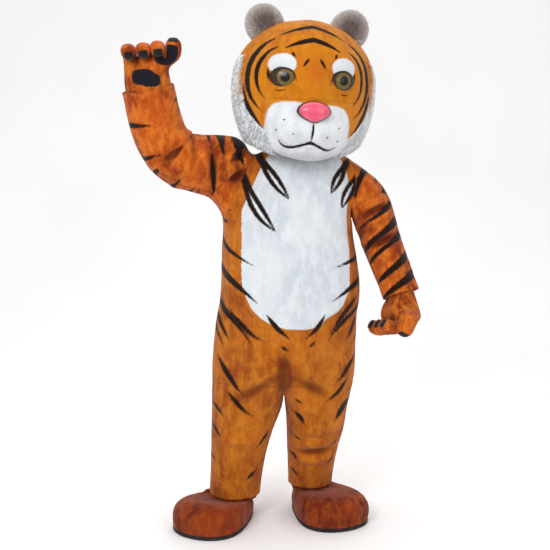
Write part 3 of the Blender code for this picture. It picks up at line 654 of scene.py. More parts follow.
def stroke(nodes, widest, start=0.12, end=0.06, fullest=0.4, steps=9):
    """A brush stroke through (u, v) nodes: pointed at its end, fullest part way along."""
    nodes = np.array(nodes, dtype=float)
    along = np.concatenate(([0.0], np.cumsum(np.hypot(*np.diff(nodes, axis=0).T))))
    along /= along[-1]
    shares = np.linspace(0, 1, steps)
    if len(nodes) > 2:
        fit = np.polyfit(along, nodes, min(len(nodes) - 1, 3))
        places = np.stack([np.polyval(fit[:, k], shares) for k in range(2)], axis=1)
    else:
        places = np.stack([np.interp(shares, along, nodes[:, k]) for k in range(2)], axis=1)
    widths = np.where(shares < fullest,
                      start + (1 - start) * np.sin(shares / fullest * math.pi / 2),
                      end + (1 - end) * np.cos((shares - fullest) / (1 - fullest) * math.pi / 2))
    return [(a, b, widest * w) for (a, b), w in zip(places, widths)]


def wound(table, reach, widest=1.0, **shape):
    """Strokes given in degrees round a form of this radius, with no jump of a whole turn."""
    result = []
    for nodes, width in table:
        turned = [nodes[0]]
        for angle, height in nodes[1:]:
            last = turned[-1][0]
            turned.append((last + (angle - last + 180) % 360 - 180, height))
        flat = [(math.radians(angle) * reach, height) for angle, height in turned]
        result.append(stroke(flat, width * widest, **shape))
    return result


def value_noise(points, scale, seed):
    """Smooth noise from -1 to 1 at each point."""
    shift = Vector((seed * 7.31, seed * 3.77, seed * 5.13))
    return np.array([noise.noise(Vector(p) * scale + shift) for p in points])


def add_wall(name, skin, pieces, thickness, material, node, fields=None, gap=SEAM, raised=0.0):
    """One cut piece as a hollow wall, cut from a skin as the part's is, with values on its points."""
    picked = skin.faces[skin.chosen(pieces)]
    order, local = np.unique(picked, return_inverse=True)
    local = local.reshape(picked.shape)
    count = len(order)
    ends = np.stack([local, np.roll(local, -1, axis=1)], axis=2).reshape(-1, 2)
    keys = ends[:, 0].astype(np.int64) * count + ends[:, 1]
    reverse = ends[:, 1].astype(np.int64) * count + ends[:, 0]
    rim = ends[~np.isin(keys, reverse)]
    outer = skin.points[order] + skin.normals[order] * raised
    along = outer[rim[:, 1]] - outer[rim[:, 0]]
    normal = skin.normals[order][rim[:, 0]] + skin.normals[order][rim[:, 1]]
    inward = np.cross(normal, along)
    inward /= np.maximum(np.linalg.norm(inward, axis=1), 1e-12)[:, None]
    pull = np.zeros_like(outer)
    for i in range(2):
        np.add.at(pull, rim[:, i], inward)
    size = np.maximum((pull ** 2).sum(axis=1), 1e-12)
    touched = size > 0.5
    outer[touched] += (pull[touched] * 2 / size[touched][:, None]) * gap / 2
    inner = outer - skin.normals[order] * thickness
    faces = [tuple(f) for f in local.tolist()]
    faces += [(a + count, d + count, c + count, b + count) for a, b, c, d in local.tolist()]
    faces += [(b, a, a + count, b + count) for a, b in rim.tolist()]
    mesh = bpy.data.meshes.new(name)
    mesh.from_pydata(np.concatenate([outer, inner]).tolist(), [], faces)
    for key, values in (fields or {}).items():
        set_values(mesh, key, np.concatenate([values[order], values[order]]).astype(np.float32))
    mesh.shade_smooth()
    return add_piece(name, mesh, material, node)


def add_piece(name, mesh, material, *nodes):
    piece = placed(name, mesh)
    mesh.materials.append(material)
    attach(piece, "root")
    if nodes:
        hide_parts(*nodes)
    return piece


class Shader:
    """A Principled material and short calls for the nodes that feed it."""

    def __init__(self, name, roughness=0.9, sheen=0.0, specular=0.3, coat=0.0):
        self.material = bpy.data.materials.new(name)
        self.material.use_nodes = True
        self.tree = self.material.node_tree
        self.main = self.tree.nodes["Principled BSDF"]
        self.main.inputs["Roughness"].default_value = roughness
        self.main.inputs["Specular IOR Level"].default_value = specular
        self.main.inputs["Sheen Weight"].default_value = sheen
        self.main.inputs["Sheen Roughness"].default_value = 0.45
        self.main.inputs["Coat Weight"].default_value = coat
        self.main.inputs["Coat Roughness"].default_value = 0.08
        self.place = self.tree.nodes.new("ShaderNodeTexCoord").outputs["Object"]

    def node(self, kind, **settings):
        made = self.tree.nodes.new(kind)
        for key, value in settings.items():
            setattr(made, key, value)
        return made

    def link(self, start, end):
        self.tree.links.new(start, end)

    def noise(self, scale, detail=3.0, stretch=(1.0, 1.0, 1.0), roughness=0.5):
        mapping = self.node("ShaderNodeMapping")
        mapping.inputs["Scale"].default_value = stretch
        self.link(self.place, mapping.inputs["Vector"])
        made = self.node("ShaderNodeTexNoise")
        made.inputs["Scale"].default_value = scale
        made.inputs["Detail"].default_value = detail
        made.inputs["Roughness"].default_value = roughness
        self.link(mapping.outputs["Vector"], made.inputs["Vector"])
        return made.outputs["Fac"]

    def value(self, name):
        return self.node("ShaderNodeAttribute", attribute_name=name).outputs["Fac"]

    def spread(self, value, low, high, to_low=0.0, to_high=1.0, smooth_ends=True):
        made = self.node("ShaderNodeMapRange")
        if smooth_ends:
            made.interpolation_type = "SMOOTHSTEP"
        made.inputs["From Min"].default_value = low
        made.inputs["From Max"].default_value = high
        made.inputs["To Min"].default_value = to_low
        made.inputs["To Max"].default_value = to_high
        self.link(value, made.inputs["Value"])
        return made.outputs["Result"]

    def maths(self, operation, first, second):
        made = self.node("ShaderNodeMath", operation=operation)
        for socket, value in zip(made.inputs, (first, second)):
            if isinstance(value, (int, float)):
                socket.default_value = value
            else:
                self.link(value, socket)
        return made.outputs["Value"]

    def mix(self, share, first, second, blend="MIX"):
        made = self.node("ShaderNodeMix", data_type="RGBA", blend_type=blend)
        for key, value in (("Factor", share), ("A", first), ("B", second)):
            socket = next(s for s in made.inputs if s.name == key and s.enabled)
            if isinstance(value, tuple):
                socket.default_value = (*value, 1.0)
            elif isinstance(value, (int, float)):
                socket.default_value = value
            else:
                self.link(value, socket)
        return next(s for s in made.outputs if s.enabled)

    def colour(self, output):
        self.link(output, self.main.inputs["Base Color"])

    def bump(self, strength, distance, height):
        made = self.node("ShaderNodeBump")
        made.inputs["Strength"].default_value = strength
        made.inputs["Distance"].default_value = distance
        self.link(height, made.inputs["Height"])
        self.link(made.outputs["Normal"], self.main.inputs["Normal"])


DARK = (0.012, 0.005, 0.003)


def plush(name, light, middle, deep, sheen=0.10, marks=(), grain=0.45):
    """Short-pile plush: patches where the nap lies another way, single fibres, airbrushed marks and marks of
    painted shade.

    A mark is the name of its field on the points, its colour and how soft its edge is, in metres."""
    nap = (1.0, 1.0, 0.55)
    s = Shader(name, roughness=0.92, sheen=sheen, specular=0.12)
    patches = s.spread(s.noise(9.0, 3.0, nap, 0.55), 0.36, 0.62)
    streaks = s.spread(s.noise(34.0, 4.0, nap, 0.6), 0.36, 0.68)
    fibres = s.noise(420.0, 2.0, (1.0, 1.0, 0.35), 0.6)
    base = s.mix(patches, deep, middle)
    base = s.mix(s.maths("MULTIPLY", streaks, 0.70), base, light)
    shade = s.maths("MULTIPLY", s.spread(fibres, 0.50, 0.34), grain)
    base = s.mix(shade, base, tuple(0.5 * c for c in middle))
    ragged = s.maths("SUBTRACT", s.noise(150.0, 3.0, nap, 0.7), 0.5)
    for key, colour, softness in marks:
        reach = min(softness, 0.004)
        edge = s.maths("ADD", s.value(key), s.maths("MULTIPLY", ragged, 2.2 * reach))
        low, high = (0.0, softness) if softness > 0.1 else (-softness, softness)
        share = s.spread(edge, low, high)
        base = s.mix(share, base, colour)
    s.colour(base)
    height = s.maths("ADD", s.maths("MULTIPLY", fibres, 0.5), s.maths("MULTIPLY", streaks, 0.5))
    s.bump(0.65, 0.004, height)
    return s.material


GOLD = (0.54, 0.180, 0.006)
SNOW = (0.64, 0.675, 0.70)
# The crease mark of the suit's plush and of the sleeves' is painted shade, darker where the folds press in.
ORANGE = plush("suit_plush", (0.58, 0.190, 0.016), (0.43, 0.115, 0.008), (0.27, 0.052, 0.005),
               marks=(("crease", (0.11, 0.016, 0.003), 1.5), ("lens", SNOW, 0.002), ("stripe", DARK, 0.0045)))
# The sleeves' plush is the suit's with lighter light patches and much deeper dark ones; the deep dark is painted
# shade of the sleeves' folds.
SHADED_SLEEVE = plush("shaded_sleeve_plush", (0.74, 0.200, 0.020), (0.44, 0.075, 0.007), (0.19, 0.020, 0.004), grain=0.5,
               marks=(("crease", (0.080, 0.008, 0.002), 1.3), ("stripe", DARK, 0.0035)))
HEAD_PLUSH = plush("head_plush", (0.62, 0.225, 0.008), (0.54, 0.178, 0.005), (0.42, 0.115, 0.004), grain=0.35,
                   marks=(("warm", (0.46, 0.105, 0.006), 1.4), ("snow", SNOW, 0.004), ("stripe", DARK, 0.0022),
                          ("brow", SNOW, 0.003)))
WHITE = plush("white_plush", (0.69, 0.725, 0.75), (0.62, 0.66, 0.69), (0.52, 0.56, 0.60), sheen=0.12, grain=0.22,
              marks=(("below", (0.46, 0.130, 0.009), 0.003), ("lens", SNOW, 0.002), ("stripe", DARK, 0.0030)))
# The muzzle plush's first mark is painted shade beside the mouth and a painted shadow under the chin.
MUZZLE = plush("muzzle_plush", (0.74, 0.76, 0.78), (0.68, 0.70, 0.73), (0.58, 0.60, 0.64), sheen=0.12, grain=0.18,
               marks=(("painted_shade", (0.26, 0.27, 0.30), 1.3), ("gold", GOLD, 0.004), ("stripe", DARK, 0.0018)))
RUFF = plush("ruff_fur", (0.80, 0.80, 0.82), (0.72, 0.73, 0.75), (0.58, 0.60, 0.64), sheen=0.12, grain=0.15,
             marks=(("gold", GOLD, 0.006), ("stripe", DARK, 0.0022)))
PAW = plush("paw_plush", (0.70, 0.195, 0.018), (0.45, 0.085, 0.008), (0.20, 0.024, 0.004),
            marks=(("pad", (0.010, 0.010, 0.016), 0.0025),))
RUST = plush("boot_plush", (0.36, 0.066, 0.008), (0.22, 0.030, 0.005), (0.10, 0.011, 0.003), grain=0.5)
FELT_BLACK = plush("black_felt", (0.022, 0.020, 0.022), (0.014, 0.012, 0.014), (0.008, 0.007, 0.008), sheen=0.2)
SOLE_BLACK = plush("boot_sole", (0.040, 0.034, 0.032), (0.028, 0.022, 0.020), (0.014, 0.011, 0.010))


def ear_material(name, outer, middle, inner, front_only):
    """Fur that darkens towards the middle of the ear, painted shade in its hollow; the back of the ear is orange
    with a dark rim.
    """
    s = Shader(name, roughness=0.9, sheen=0.3, specular=0.15)
    out = s.value("out")
    streaks = s.noise(90.0, 4.0, (1.0, 1.0, 0.6), 0.6)
    uneven = s.maths("ADD", out, s.maths("MULTIPLY", s.maths("SUBTRACT", streaks, 0.5), 0.30))
    # Darker towards the middle of the ear: painted shade in its hollow.
    base = s.mix(s.spread(uneven, 0.18, 0.55), inner, middle)
    base = s.mix(s.spread(uneven, 0.50, 0.95), base, outer)
    if front_only:
        base = s.mix(s.spread(s.value("front"), 0.004, 0.014), base, (0.56, 0.19, 0.012))
    hairs = s.maths("MULTIPLY", s.spread(s.noise(380.0, 2.0), 0.35, 0.6), 0.35)
    base = s.mix(hairs, base, (0.02, 0.015, 0.02))
    s.colour(base)
    s.bump(0.6, 0.003, streaks)
    return s.material


# Colours at the rim, part way in and in the middle; the dark middle is painted shade in the ear's hollow.
EAR_PLUSH = ear_material("ear_plush", (0.62, 0.58, 0.55), (0.50, 0.44, 0.40), (0.30, 0.22, 0.18), True)
EAR_FUR = ear_material("ear_fur", (0.70, 0.64, 0.60), (0.40, 0.33, 0.31), (0.15, 0.10, 0.09), False)


def eye_material():
    """A glossy eye: black pupil, olive iris with a dark ring, brown rim."""
    s = Shader("eye_gloss", roughness=0.22, specular=0.22, coat=0.22)
    iris = s.value("iris")
    rays = s.noise(260.0, 3.0, (1.0, 1.0, 1.0), 0.6)
    colour = s.mix(rays, (0.060, 0.036, 0.006), (0.21, 0.14, 0.022))
    colour = s.mix(s.spread(iris, 0.0155, 0.0180), (0.003, 0.003, 0.004), colour)
    colour = s.mix(s.spread(iris, 0.0270, 0.0310), colour, (0.035, 0.018, 0.006))
    colour = s.mix(s.spread(s.value("rim"), 0.80, 0.92), colour, (0.008, 0.005, 0.004))
    s.colour(colour)
    return s.material


def nose_material():
    """Glossy pink vinyl with an airbrushed black edge."""
    s = Shader("nose_gloss", roughness=0.30, specular=0.35, coat=0.45)
    tone = s.mix(s.spread(s.noise(30.0, 2.0), 0.35, 0.65), (0.66, 0.060, 0.125), (0.74, 0.11, 0.185))
    s.colour(s.mix(s.spread(s.value("edge"), 0.84, 0.93), tone, (0.010, 0.006, 0.006)))
    return s.material


EYE_GLOSS = eye_material()
NOSE_GLOSS = nose_material()


# How much broader every stripe is sprayed than its table says
BOLD = 1.35
FRONT_BOLD = 1.05
# Stripes of the jumpsuit's front: (x, height) nodes of each stroke and its widest half width.
FRONT_STROKES = (
    ([(-0.262, 0.792), (-0.205, 0.736), (-0.158, 0.700), (-0.128, 0.690)], 0.0085),
    ([(-0.122, 0.786), (-0.086, 0.740), (-0.036, 0.696)], 0.0090),
    ([(0.084, 0.784), (0.060, 0.740), (0.016, 0.700)], 0.0085),
    ([(-0.072, 0.672), (-0.044, 0.656)], 0.0055),
    ([(0.052, 0.690), (0.024, 0.664)], 0.0050),
    ([(0.204, 0.842), (0.150, 0.772), (0.106, 0.708)], 0.0090),
    ([(0.206, 0.764), (0.186, 0.716), (0.164, 0.672)], 0.0065),
    ([(-0.312, 0.800), (-0.282, 0.722), (-0.252, 0.676)], 0.0080),
    ([(-0.302, 0.622), (-0.262, 0.556), (-0.204, 0.480)], 0.0105),
    ([(0.204, 0.622), (0.166, 0.566), (0.126, 0.520)], 0.0080),
    ([(-0.268, 0.500), (-0.222, 0.446), (-0.166, 0.404)], 0.0085),
    ([(0.172, 0.540), (0.128, 0.484), (0.084, 0.458)], 0.0075),
    ([(0.184, 0.456), (0.150, 0.420), (0.126, 0.380)], 0.0120),
    ([(-0.022, 0.472), (0.006, 0.456)], 0.0050),
    ([(-0.022, 0.418), (0.000, 0.396), (0.016, 0.366)], 0.0085),
    ([(-0.026, 0.318), (0.002, 0.302)], 0.0050),
    ([(-0.038, 0.246), (-0.006, 0.220)], 0.0055),
    ([(-0.032, 0.176), (-0.006, 0.146)], 0.0055),
    ([(-0.116, 0.340), (-0.140, 0.306), (-0.166, 0.280)], 0.0055),
    ([(-0.196, 0.160), (-0.176, 0.182), (-0.158, 0.194)], 0.0060),
    ([(-0.330, 0.446), (-0.304, 0.426), (-0.278, 0.396)], 0.0060),
    ([(-0.326, 0.366), (-0.304, 0.338), (-0.286, 0.320)], 0.0065),
    ([(-0.338, 0.246), (-0.312, 0.228)], 0.0055),
    ([(0.136, 0.300), (0.112, 0.276)], 0.0045),
    ([(0.122, 0.226), (0.100, 0.204)], 0.0045),
)
# Lower edge of the white: x and height
WHITE_EDGE = ((-0.212, 0.890), (-0.196, 0.845), (-0.176, 0.804), (-0.144, 0.772), (-0.100, 0.748),
              (-0.050, 0.735), (0.030, 0.733), (0.082, 0.748), (0.120, 0.774), (0.152, 0.814),
              (0.176, 0.868))
# Stripes round the torso: (degrees from the front to the wearer's left, height), half width.
ROUND_STROKES = (
    ([(-118, 1.100), (-88, 1.062), (-60, 1.006), (-36, 0.956)], 0.0085),
    ([(-126, 0.992), (-92, 0.962), (-60, 0.900), (-33, 0.826)], 0.0125),
    ([(-122, 0.880), (-90, 0.842), (-60, 0.764), (-36, 0.676)], 0.0100),
    ([(-112, 0.766), (-88, 0.736), (-66, 0.660)], 0.0080),
    ([(-76, 1.162), (-64, 1.150)], 0.0050),
    ([(-80, 1.116), (-66, 1.108)], 0.0055),
    ([(118, 1.040), (90, 1.002), (66, 0.972), (44, 0.946)], 0.0080),
    ([(124, 0.972), (92, 0.934), (64, 0.882), (42, 0.830)], 0.0110),
    ([(122, 0.884), (92, 0.842), (64, 0.762), (44, 0.682)], 0.0100),
    ([(112, 0.770), (92, 0.732), (74, 0.656)], 0.0080),
    ([(176, 1.262), (150, 1.276), (124, 1.250)], 0.0110),
    ([(-174, 1.222), (-150, 1.240), (-126, 1.206)], 0.0110),
    ([(172, 1.128), (150, 1.140), (128, 1.104)], 0.0120),
    ([(-172, 1.084), (-150, 1.096), (-132, 1.066)], 0.0110),
    ([(174, 0.990), (154, 1.004), (132, 0.972)], 0.0120),
    ([(-172, 0.946), (-152, 0.958), (-134, 0.924)], 0.0120),
    ([(172, 0.858), (152, 0.868), (130, 0.834)], 0.0110),
    ([(-174, 0.806), (-154, 0.820), (-130, 0.784)], 0.0110),
    ([(170, 0.726), (148, 0.736), (124, 0.700)], 0.0110),
    ([(-168, 0.672), (-146, 0.684), (-118, 0.640)], 0.0110),
    ([(160, 0.606), (138, 0.612), (112, 0.570)], 0.0100),
    ([(-166, 0.560), (-146, 0.572)], 0.0090),
)
# Points along each edge of a lens, and the share of its length where the two edges part
LENS_STEPS = 13
LENS_START = 0.22
# Split strokes of the chest: the middle of a long white lens, its half width and that of its edges.
CHEST_LENSES = (
    ([(-0.166, 1.372), (-0.116, 1.292), (-0.044, 1.196)], 0.0125, 0.0088),
    ([(-0.212, 1.304), (-0.176, 1.196), (-0.092, 1.082)], 0.0140, 0.0092),
    ([(0.176, 1.336), (0.146, 1.286), (0.108, 1.214)], 0.0115, 0.0084),
    ([(0.222, 1.292), (0.186, 1.238), (0.146, 1.160)], 0.0130, 0.0088),
)
# Stripes over the raised shoulder, on the torso and the sleeve: (x, height) nodes and half width
SHOULDER_STROKES = (
    ([(-0.200, 1.452), (-0.186, 1.412), (-0.172, 1.372)], 0.0150),
    ([(-0.232, 1.450), (-0.228, 1.386), (-0.204, 1.306)], 0.0105),
    ([(-0.284, 1.448), (-0.284, 1.404), (-0.276, 1.360)], 0.0080),
)
# Stripes round each leg: (degrees from the front to the wearer's left, height), half width.
LEG_STROKES = {
    "right": (
        ([(-86, 0.352), (-120, 0.372), (-160, 0.352)], 0.0090),
        ([(176, 0.436), (140, 0.452), (112, 0.430)], 0.0090),
        ([(-96, 0.262), (-130, 0.286), (-170, 0.262)], 0.0085),
        ([(168, 0.318), (132, 0.330), (104, 0.310)], 0.0080),
        ([(-110, 0.176), (-150, 0.196), (172, 0.170)], 0.0080),
        ([(150, 0.236), (118, 0.246)], 0.0070),
    ),
    "left": (
        ([(88, 0.386), (122, 0.402), (160, 0.376)], 0.0090),
        ([(-178, 0.440), (-142, 0.452), (-112, 0.430)], 0.0090),
        ([(92, 0.292), (128, 0.310), (166, 0.284)], 0.0085),
        ([(-170, 0.344), (-134, 0.356), (-106, 0.336)], 0.0080),
        ([(96, 0.202), (132, 0.222), (172, 0.196)], 0.0080),
        ([(-160, 0.252), (-124, 0.262)], 0.0070),
    ),
}
# Stripes round each arm: (degrees from the front round its outer side, way down the arm), half width.
ARM_STROKES = {
    "left": (
        ([(150, 0.000), (96, 0.010), (40, 0.020), (-10, 0.036)], 0.0105),
        ([(96, 0.050), (56, 0.076)], 0.0060),
        ([(140, 0.086), (96, 0.100), (50, 0.122), (-40, 0.176)], 0.0080),
        ([(150, 0.150), (84, 0.172), (20, 0.208), (-80, 0.262)], 0.0100),
        ([(150, 0.206), (84, 0.230), (10, 0.268), (-70, 0.306)], 0.0090),
        ([(140, 0.290), (84, 0.312), (10, 0.348), (-84, 0.386)], 0.0100),
        ([(150, 0.364), (90, 0.380), (20, 0.408), (-70, 0.440)], 0.0110),
        ([(250, 0.080), (200, 0.110), (160, 0.136)], 0.0100),
        ([(258, 0.180), (210, 0.204), (166, 0.176)], 0.0100),
        ([(262, 0.272), (212, 0.296), (170, 0.264)], 0.0100),
        ([(258, 0.356), (210, 0.376), (172, 0.342)], 0.0090),
    ),
    "right": (
        ([(-112, 0.124), (-60, 0.118), (-22, 0.110)], 0.0085),
        ([(-26, 0.150), (24, 0.146), (80, 0.140)], 0.0060),
        ([(-118, 0.168), (-84, 0.160), (-52, 0.156)], 0.0070),
        ([(118, 0.200), (84, 0.204), (54, 0.194)], 0.0070),
        ([(120, 0.262), (80, 0.266), (44, 0.254)], 0.0075),
        ([(118, 0.332), (66, 0.340), (14, 0.336)], 0.0075),
        ([(126, 0.434), (72, 0.444), (6, 0.438)], 0.0085),
        ([(-124, 0.262), (-76, 0.250), (-44, 0.262)], 0.0065),
        ([(-130, 0.400), (-92, 0.408), (-66, 0.400)], 0.0065),
        ([(-124, 0.500), (-92, 0.508), (-62, 0.500)], 0.0060),
        ([(128, 0.530), (92, 0.538), (60, 0.532)], 0.0065),
        ([(196, 0.040), (170, 0.050), (140, 0.040)], 0.0090),
        ([(230, 0.110), (190, 0.118), (150, 0.110)], 0.0100),
        ([(236, 0.210), (196, 0.222), (156, 0.214)], 0.0100),
        ([(232, 0.330), (192, 0.344), (152, 0.334)], 0.0100),
        ([(226, 0.430), (188, 0.446), (150, 0.436)], 0.0095),
        ([(230, 0.516), (190, 0.528), (154, 0.520)], 0.0085),
    ),
}
# Folds of the front and the back: x and height of both ends, half width, depth, and the side that
# they are on, -1 for the front and 1 for the back
FOLDS = (
    (-0.060, 0.650, -0.060, 0.470, 0.016, -0.010, -1),
    (-0.070, 0.570, -0.250, 0.452, 0.020, -0.007, -1),
    (-0.060, 0.590, -0.240, 0.500, 0.020, 0.004, -1),
    (-0.040, 0.560, 0.110, 0.476, 0.018, -0.007, -1),
    (-0.030, 0.590, 0.130, 0.540, 0.018, 0.004, -1),
    (-0.310, 0.352, -0.140, 0.338, 0.015, -0.005, -1),
    (-0.310, 0.326, -0.140, 0.304, 0.020, 0.006, -1),
    (-0.300, 0.292, -0.170, 0.264, 0.014, -0.004, -1),
    (-0.020, 0.332, 0.140, 0.366, 0.016, 0.007, -1),
    (-0.030, 0.300, 0.150, 0.330, 0.013, -0.010, -1),
    (-0.030, 0.278, 0.140, 0.296, 0.014, 0.008, -1),
    (-0.030, 0.246, 0.120, 0.262, 0.013, -0.010, -1),
    (-0.030, 0.220, 0.120, 0.228, 0.014, 0.007, -1),
    (-0.030, 0.190, 0.110, 0.200, 0.012, -0.006, -1),
    (-0.180, 0.700, 0.090, 0.716, 0.022, -0.003, -1),
    (-0.160, 1.010, 0.060, 0.960, 0.030, -0.003, -1),
    (-0.100, 0.900, 0.100, 0.860, 0.026, 0.003, -1),
    (-0.200, 1.240, -0.120, 1.050, 0.026, -0.006, 1),
    (0.150, 1.250, 0.080, 1.050, 0.026, -0.006, 1),
    (-0.150, 1.000, 0.080, 0.985, 0.022, 0.004, 1),
    (-0.180, 0.930, 0.110, 0.905, 0.020, -0.004, 1),
    (-0.270, 0.640, -0.020, 0.590, 0.024, 0.006, 1),
    (0.190, 0.660, -0.010, 0.560, 0.020, -0.008, 1),
    (-0.240, 0.600, -0.060, 0.510, 0.020, -0.008, 1),
    (-0.300, 0.330, -0.150, 0.350, 0.016, 0.006, 1),
    (-0.300, 0.296, -0.150, 0.310, 0.014, -0.006, 1),
    (-0.010, 0.330, 0.130, 0.318, 0.016, 0.006, 1),
    (-0.010, 0.300, 0.130, 0.284, 0.014, -0.007, 1),
    (-0.020, 0.220, 0.110, 0.226, 0.014, 0.005, 1),
)
# Folds round each arm: degrees and way down the arm of both ends, half width, depth.
ARM_FOLDS = {
    "right": (
        (-100, 0.030, 70, 0.050, 0.013, -0.011),
        (-96, 0.062, 84, 0.078, 0.015, 0.009),
        (-90, 0.094, 90, 0.100, 0.013, -0.010),
        (-70, 0.120, 80, 0.118, 0.015, 0.007),
        (-80, 0.160, 60, 0.146, 0.013, -0.008),
        (-76, 0.192, 50, 0.186, 0.015, 0.006),
        (-110, 0.250, 30, 0.222, 0.012, -0.010),
        (-110, 0.280, 36, 0.272, 0.014, 0.008),
        (-116, 0.306, 30, 0.316, 0.012, -0.011),
        (-110, 0.336, 20, 0.356, 0.015, 0.007),
        (-100, 0.366, 10, 0.396, 0.012, -0.006),
        (60, 0.250, 130, 0.270, 0.020, 0.006),
        (-70, 0.560, 100, 0.566, 0.012, 0.004),
        (150, 0.060, 230, 0.080, 0.016, -0.007),
        (150, 0.270, 240, 0.290, 0.016, -0.007),
        (150, 0.300, 240, 0.340, 0.016, 0.006),
    ),
    "left": (
        (-70, 0.096, 60, 0.060, 0.014, -0.007),
        (-80, 0.150, 70, 0.106, 0.013, -0.010),
        (-80, 0.176, 80, 0.136, 0.014, 0.008),
        (-86, 0.206, 84, 0.162, 0.013, -0.011),
        (-86, 0.236, 90, 0.192, 0.014, 0.008),
        (-86, 0.262, 90, 0.222, 0.013, -0.009),
        (-80, 0.300, 80, 0.262, 0.015, 0.006),
        (-70, 0.330, 80, 0.302, 0.013, -0.007),
        (-60, 0.366, 90, 0.346, 0.014, 0.005),
        (-60, 0.392, 96, 0.380, 0.012, -0.006),
        (140, 0.160, 240, 0.190, 0.015, -0.007),
        (140, 0.230, 240, 0.250, 0.015, 0.006),
    ),
}
SHOULDER_STRIPES_END = 1.28
# Radii that turn degrees round the torso, a leg and an arm into metres
TORSO_REACH = 0.20
LEG_REACH = 0.105
ARM_REACH = 0.085


def fold_sum(u, v, folds, taper_power=0.7):
    """Depth of soft folds along straight lines; each fades towards both its ends."""
    total = np.zeros(len(u))
    for u0, v0, u1, v1, half_width, depth in folds:
        length = math.hypot(u1 - u0, v1 - v0)
        along = ((u - u0) * (u1 - u0) + (v - v0) * (v1 - v0)) / length ** 2
        across = ((u - u0) * (v1 - v0) - (v - v0) * (u1 - u0)) / length
        taper = np.sin(math.pi * np.clip(along, 0.0, 1.0)) ** taper_power
        total += depth * taper * np.exp(-((across / half_width) ** 2))
    return total


def ring_axis(heights, table):
    """Centre of a form at these heights, between the rings of its table."""
    rows = sorted((row[0], row[1], row[2]) for row in table)
    known = [row[0] for row in rows]
    return [np.interp(heights, known, [row[i] for row in rows]) for i in (1, 2)]


def arm_place(points, table, root):
    """Way down the arm's axis, and angle round it from the front by its outer side."""
    axis = [np.array(root)] + [np.array((x, y, above_floor(h))) for h, x, y, _, _ in table]
    best = np.full(len(points), 9.0)
    way = np.zeros(len(points))
    angle = np.zeros(len(points))
    gone = 0.0
    for a, b in zip(axis, axis[1:]):
        length = np.linalg.norm(b - a)
        along = (b - a) / length
        share = (points - a) @ along
        inside = np.clip(share, 0.0, length)
        away = points - a - inside[:, None] * along
        distance = np.linalg.norm(away, axis=1)
        ahead = np.array((0.0, -1.0, 0.0))
        ahead = ahead - along * (ahead @ along)
        ahead /= np.linalg.norm(ahead)
        side = np.cross(ahead, along)
        near = distance < best - 1e-9
        best[near] = distance[near]
        way[near] = (gone + share)[near]
        angle[near] = np.arctan2(away @ side, away @ ahead)[near]
        gone += length
    return way, angle


def group_points(skin, pieces):
    """Which points belong to these pieces, their seams included."""
    inside = np.zeros(len(skin.points), dtype=bool)
    inside[np.unique(skin.faces[skin.chosen(pieces)])] = True
    return inside


def chest_lens(nodes, spread, w):
    """The two dark edges of a split stroke, and the white lens between them."""
    path = np.array(stroke(nodes, 1.0, steps=LENS_STEPS))[:, :2]
    way = np.gradient(path, axis=0)
    normal = np.stack([-way[:, 1], way[:, 0]], axis=1) / np.hypot(*way.T)[:, None]
    share = np.linspace(0.0, 1.0, LENS_STEPS)
    bow = np.sin(np.clip((share - LENS_START) / (1 - LENS_START), 0.0, 1.0) * math.pi) ** 0.8 * spread
    width = w * (0.30 + 0.70 * np.sin(np.linspace(0.2, math.pi, LENS_STEPS))
                 + 0.9 * np.exp(-((share - 0.16) / 0.12) ** 2))
    edges = [path + normal * (bow * hand)[:, None] for hand in (-1, 1)]
    inner = [(a, b, max(c - w * 0.6, 0.0)) for (a, b), c in zip(path[4:-1], bow[4:-1])]
    return [[(a, b, c) for (a, b), c in zip(edge, width)] for edge in edges], inner


def arm_fields(skin, side, table, torso):
    """Which points are the sleeve's, how deep its folds are there, and its stripes."""
    own = group_points(skin, [f"sleeve_{side}"])
    root = skin.points[own & torso].mean(axis=0)
    way, angle = arm_place(skin.points, table, root)
    around = angle * ARM_REACH
    strokes = wound(ARM_STROKES[side], ARM_REACH, BOLD, start=0.4, end=0.35)
    stripe = segment_field(around, way, strokes, math.tau * ARM_REACH)
    folds = [(math.radians(a0) * ARM_REACH, way0, math.radians(a1) * ARM_REACH, way1, *rest)
             for a0, way0, a1, way1, *rest in ARM_FOLDS[side]]
    wrapped = np.where(around < -1.9 * ARM_REACH, around + math.tau * ARM_REACH, around)
    return own, fold_sum(wrapped, way, folds) * smooth(0.0, 0.03, way), stripe


